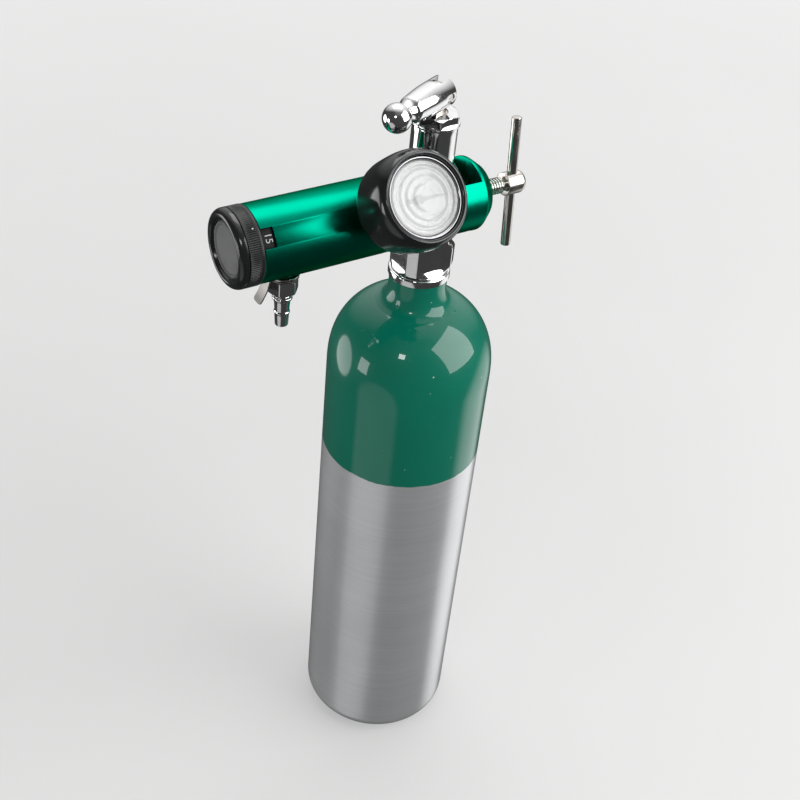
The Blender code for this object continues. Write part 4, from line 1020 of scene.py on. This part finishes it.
def tongue():
    """The bent sheet tongue of the washer under the outlet's hexagon."""
    path = [
        (-0.0055, 0.01935), (-0.0073, 0.01937), (-0.0079, 0.0199), (-0.0083, 0.0212),
        (-0.009, 0.0238), (-0.0106, 0.0272), (-0.0125, 0.0304),
    ]
    path = flowing(path, 8)
    tip = Vector(path[-1])
    loops = []
    for index, point in enumerate(path):
        along = (Vector(path[min(index + 1, len(path) - 1)]) - Vector(path[max(index - 1, 0)])).normalized()
        across = Vector((-along.y, along.x)) * 0.0003
        left = (tip - Vector(point)).length
        half = 0.0032
        if left < 0.0014:
            half -= 0.0014 - sqrt(max(0.0, 0.0014**2 - (0.0014 - left) ** 2))
        inner, outer = Vector(point) - across, Vector(point) + across
        rim = 0.00012
        outline = [(0.0, rim - half), (0.0, half - rim), (0.3, half), (0.7, half)]
        outline += [(1.0, half - rim), (1.0, rim - half), (0.7, -half), (0.3, -half)]
        places = [(inner.lerp(outer, share), side) for share, side in outline]
        loops.append([(place.x, side, place.y) for place, side in places])
    bm = skin(loops)
    bmesh.ops.holes_fill(bm, edges=bm.edges)
    bmesh.ops.recalc_face_normals(bm, faces=bm.faces)
    return bm


# The gauge


def make_gauge():
    boot = flowing(
        [
            (0.0112, 0.0222), (0.015, 0.022), (0.0185, 0.0226), (0.0204, 0.025), (0.021, 0.03),
            (0.0214, 0.038), (0.0211, 0.0435), (0.0202, 0.0468), (0.019, 0.0484), (0.0182, 0.0487),
        ],
        8,
    )
    boot += eased([(0.0182, 0.0487), (0.0174, 0.0484, 0.0003), (0.0173, 0.0472), (0.0189, 0.0466),
        (0.0189, 0.0246)], 0.0002)[1:]
    boot += [(0.0112, 0.0236)]
    turned_piece("fine_gauge_boot", boot, GAUGE, "regulator", "rubber", "gauge_boot", steps=160)
    case = [
        (0.001, 0.0095), (0.0043, 0.0095), (0.0043, 0.018), (0.005, 0.0181), (0.005, 0.0224),
        (0.0105, 0.0238), (0.0171, 0.025), (0.0186, 0.0265, 0.001), (0.0186, 0.044),
        (0.0176, 0.044), (0.0176, 0.0272), (0.004, 0.0272), (0.004, 0.0295), (0.001, 0.0295),
    ]
    shell = object_from("fine_gauge_case", turned(eased(case, 0.0003, True), 96, True))
    combine(shell, nut(0.0098, 0.0181, 0.0228, 0.003, chamfer_bottom=True), "UNION")
    install(shell, GAUGE, "regulator", "brass", "gauge_case")
    bezel = [(0.0158, 0.0443), (0.0186, 0.0443), (0.0186, 0.0461), (0.0171, 0.0474, 0.0005),
        (0.0164, 0.0477, 0.0004), (0.0158, 0.0472)]
    bezel = eased(bezel, 0.0002, True)
    turned_piece("fine_gauge_bezel", bezel, GAUGE, "regulator", "chrome", "gauge_bezel", material=BEZEL)
    lens = [(0, 0.045), (0.0155, 0.045), (0.0155, 0.0468)]
    lens += flowing([(0.015, 0.0473), (0.0138, 0.0474), (0.0127, 0.047), (0.0112, 0.0475),
        (0.0096, 0.0472)], 5)[:-1]
    lens += flowing([(0.0096, 0.0472), (0.0082, 0.0477), (0.0064, 0.0475), (0.0047, 0.048),
        (0.003, 0.0478), (0, 0.048)], 5)
    turned_piece("fine_gauge_lens", lens, GAUGE, "regulator", "clear_lens", "gauge_lens", ring=False)
    dial = eased([(0.0016, 0.0395), (0.0168, 0.0395), (0.0168, DIAL_FACE), (0.0016, DIAL_FACE)], 0.0001,
        True)
    turned_piece("fine_gauge_dial", dial, GAUGE, "regulator", "white_dial", "gauge_dial")


def fan(inner, outer, start, end, low, high, count):
    """A flat piece of a ring, its angles counted from X."""
    bm = bmesh.new()
    rows = []
    for index in range(count + 1):
        angle = start + (end - start) * index / count
        cosine, sine = cos(angle), sin(angle)
        corners = ((inner, low), (outer, low), (outer, high), (inner, high))
        rows.append([bm.verts.new((radius * cosine, radius * sine, height)) for radius, height in corners])
    for first, second in zip(rows, rows[1:]):
        for index in range(4):
            after = (index + 1) % 4
            bm.faces.new((first[index], first[after], second[after], second[index]))
    bm.faces.new(rows[0])
    bm.faces.new(rows[-1])
    bmesh.ops.recalc_face_normals(bm, faces=bm.faces)
    return bm


def scale_angle(share):
    return SCALE_START - SCALE_SWEEP * share


def make_dial_marks():
    low = DIAL_FACE + 0.00001
    high = DIAL_FACE + 0.00006
    divisions = 30
    marks = bmesh.new()
    for index in range(divisions + 1):
        main_mark = index % 5 == 0
        middle = scale_angle(index / divisions)
        half = 0.011 if main_mark else 0.006
        inner = DIAL_RADIUS - (0.0028 if main_mark else 0.0018)
        piece = fan(inner, DIAL_RADIUS - 0.0004, middle - half, middle + half, low, high, 1)
        mesh = bpy.data.meshes.new("mark")
        piece.to_mesh(mesh)
        piece.free()
        marks.from_mesh(mesh)
    obj = object_from("dial_marks", marks)
    install(obj, GAUGE, "regulator", "white_dial", material=BLACK_PRINT)
    zone = fan(DIAL_RADIUS - 0.0032, DIAL_RADIUS - 0.0002, scale_angle(0.0), scale_angle(1 / 6),
        low - 0.000005, high - 0.00002, 20)
    install(object_from("dial_low_zone", zone), GAUGE, "regulator", "white_dial", material=RED_PRINT)
    for number in range(4):
        text = str(1000 * number)
        angle = scale_angle(number / 3)
        bm = lettering(text, 0.0024, 0.00006)
        reach = DIAL_RADIUS - 0.0052
        place = moved((reach * cos(angle), reach * sin(angle), DIAL_FACE + 0.00004))
        bmesh.ops.transform(bm, matrix=place, verts=bm.verts)
        install(object_from(f"dial_number_{number}", bm), GAUGE, "regulator", "white_dial",
            material=BLACK_PRINT)


def dress_cad_nodes():
    """Gives each CAD node that still shows the fine material of its slot."""
    slots = {row["node"]: row["material_slot"] for row in frame["record"]["subparts"]}
    for name, obj in frame["nodes"].items():
        obj.data.materials.clear()
        obj.data.materials.append(MATERIALS[slots[name]])
        obj.data.shade_smooth()
        obj.data.set_sharp_from_angle(angle=SHARP)


# The stage


def make_floor():
    """A pale floor that curves up into a wall, far from the part on every side."""
    sweep = [(0, 0), (0.4, 0), (1.2, 0), (2.2, 0)]
    sweep += arc((2.2, 0.9), 0.9, -90, 0, 16)[1:]
    sweep += [(3.1, 2.0), (3.1, 3.4)]
    floor = object_from("floor", skin([circle(radius, height, 96) for radius, height in sweep]))
    floor.location.z = -0.0002
    floor.data.shade_smooth()
    floor.visible_glossy = False
    floor.visible_shadow = False
    material, tree, shader = shader_for("floor", (0.24, 0.24, 0.238), 0.7, emission_strength=1.0)
    place = place_of(tree)
    cloud = noise(tree, place, 3, 4)
    paper = mixed(tree, ranged(tree, cloud, 0, 1), (0.235, 0.235, 0.233), (0.245, 0.245, 0.243))
    drive(shader, "Base Color", paper)
    reach = node(tree, "ShaderNodeVectorMath", i0=place)
    reach.operation = "LENGTH"
    far = ranged(tree, reach.outputs["Value"], 0.0, 1.0, 0.25, 2.4)
    glow = mixed(tree, far, (0.34, 0.34, 0.34), (0.76, 0.76, 0.76))
    drive(shader, "Emission Color", glow)
    floor.data.materials.append(material)


def heading(azimuth, elevation):
    """A direction in degrees. Azimuth 0 is at -Y, and grows towards +X."""
    azimuth, elevation = radians(azimuth), radians(elevation)
    across = cos(elevation)
    return Vector((sin(azimuth) * across, -cos(azimuth) * across, sin(elevation)))


def soft_light(name, azimuth, elevation, distance, width, height, radiance):
    """An area light aimed at the middle of the view."""
    direction = heading(azimuth, elevation)
    light = bpy.data.lights.new(name, "AREA")
    light.shape = "RECTANGLE"
    light.size = width
    light.size_y = height
    light.energy = radiance * pi * width * height
    obj = bpy.data.objects.new(name, light)
    obj.matrix_world = moved(VIEW_TARGET + direction * distance, turned_to(direction, UP))
    link(obj)


def make_world():
    world = bpy.data.worlds.new("studio")
    world.use_nodes = True
    tree = world.node_tree
    coordinates = tree.nodes.new("ShaderNodeTexCoord")
    height = node(tree, "ShaderNodeSeparateXYZ", Vector=coordinates.outputs["Generated"]).outputs["Z"]
    level = ranged(tree, height, 0.05, 0.07, -1, 1)
    for azimuth, elevation, inner, outer, radiance in CARDS:
        card = node(tree, "ShaderNodeVectorMath", i0=coordinates.outputs["Generated"],
            i1=heading(azimuth, elevation))
        card.operation = "DOT_PRODUCT"
        edges = cos(radians(outer)), cos(radians(inner))
        level = sums(tree, "ADD", level, ranged(tree, card.outputs["Value"], 0, radiance, *edges))
    background = tree.nodes["Background"]
    tree.links.new(level, background.inputs["Color"])
    background.inputs["Strength"].default_value = 1.0
    bpy.context.scene.world = world


def make_camera():
    back = heading(VIEW_AZIMUTH, VIEW_ELEVATION)
    rotation = turned_to(back, UP) @ Matrix.Rotation(radians(VIEW_ROLL), 3, "Z")
    data = bpy.data.cameras.new("camera")
    data.lens = VIEW_LENS
    data.sensor_width = 36.0
    data.clip_start = 0.01
    camera = bpy.data.objects.new("camera", data)
    camera.matrix_world = moved(VIEW_TARGET + back * VIEW_DISTANCE, rotation)
    link(camera)
    bpy.context.scene.camera = camera


def make_lights():
    soft_light("key", 47, 30, 1.0, 0.95, 1.0, 4.6)
    soft_light("left", -98, 0, 0.9, 0.24, 0.3, 5.0)
    soft_light("top", 150, 62, 1.3, 1.0, 0.8, 2.6)
    soft_light("front", -48, 40, 1.1, 0.16, 0.16, 14.0)


dress_cad_nodes()
make_shell()
make_valve()
make_valve_fittings()
make_stem()
make_lever()
make_regulator_body()
make_inlet()
make_yoke_screw()
make_knob()
make_flow_numbers()
make_outlet()
make_gauge()
make_dial_marks()
make_floor()
make_world()
make_lights()
make_camera()
bpy.context.scene.view_settings.view_transform = "Standard"
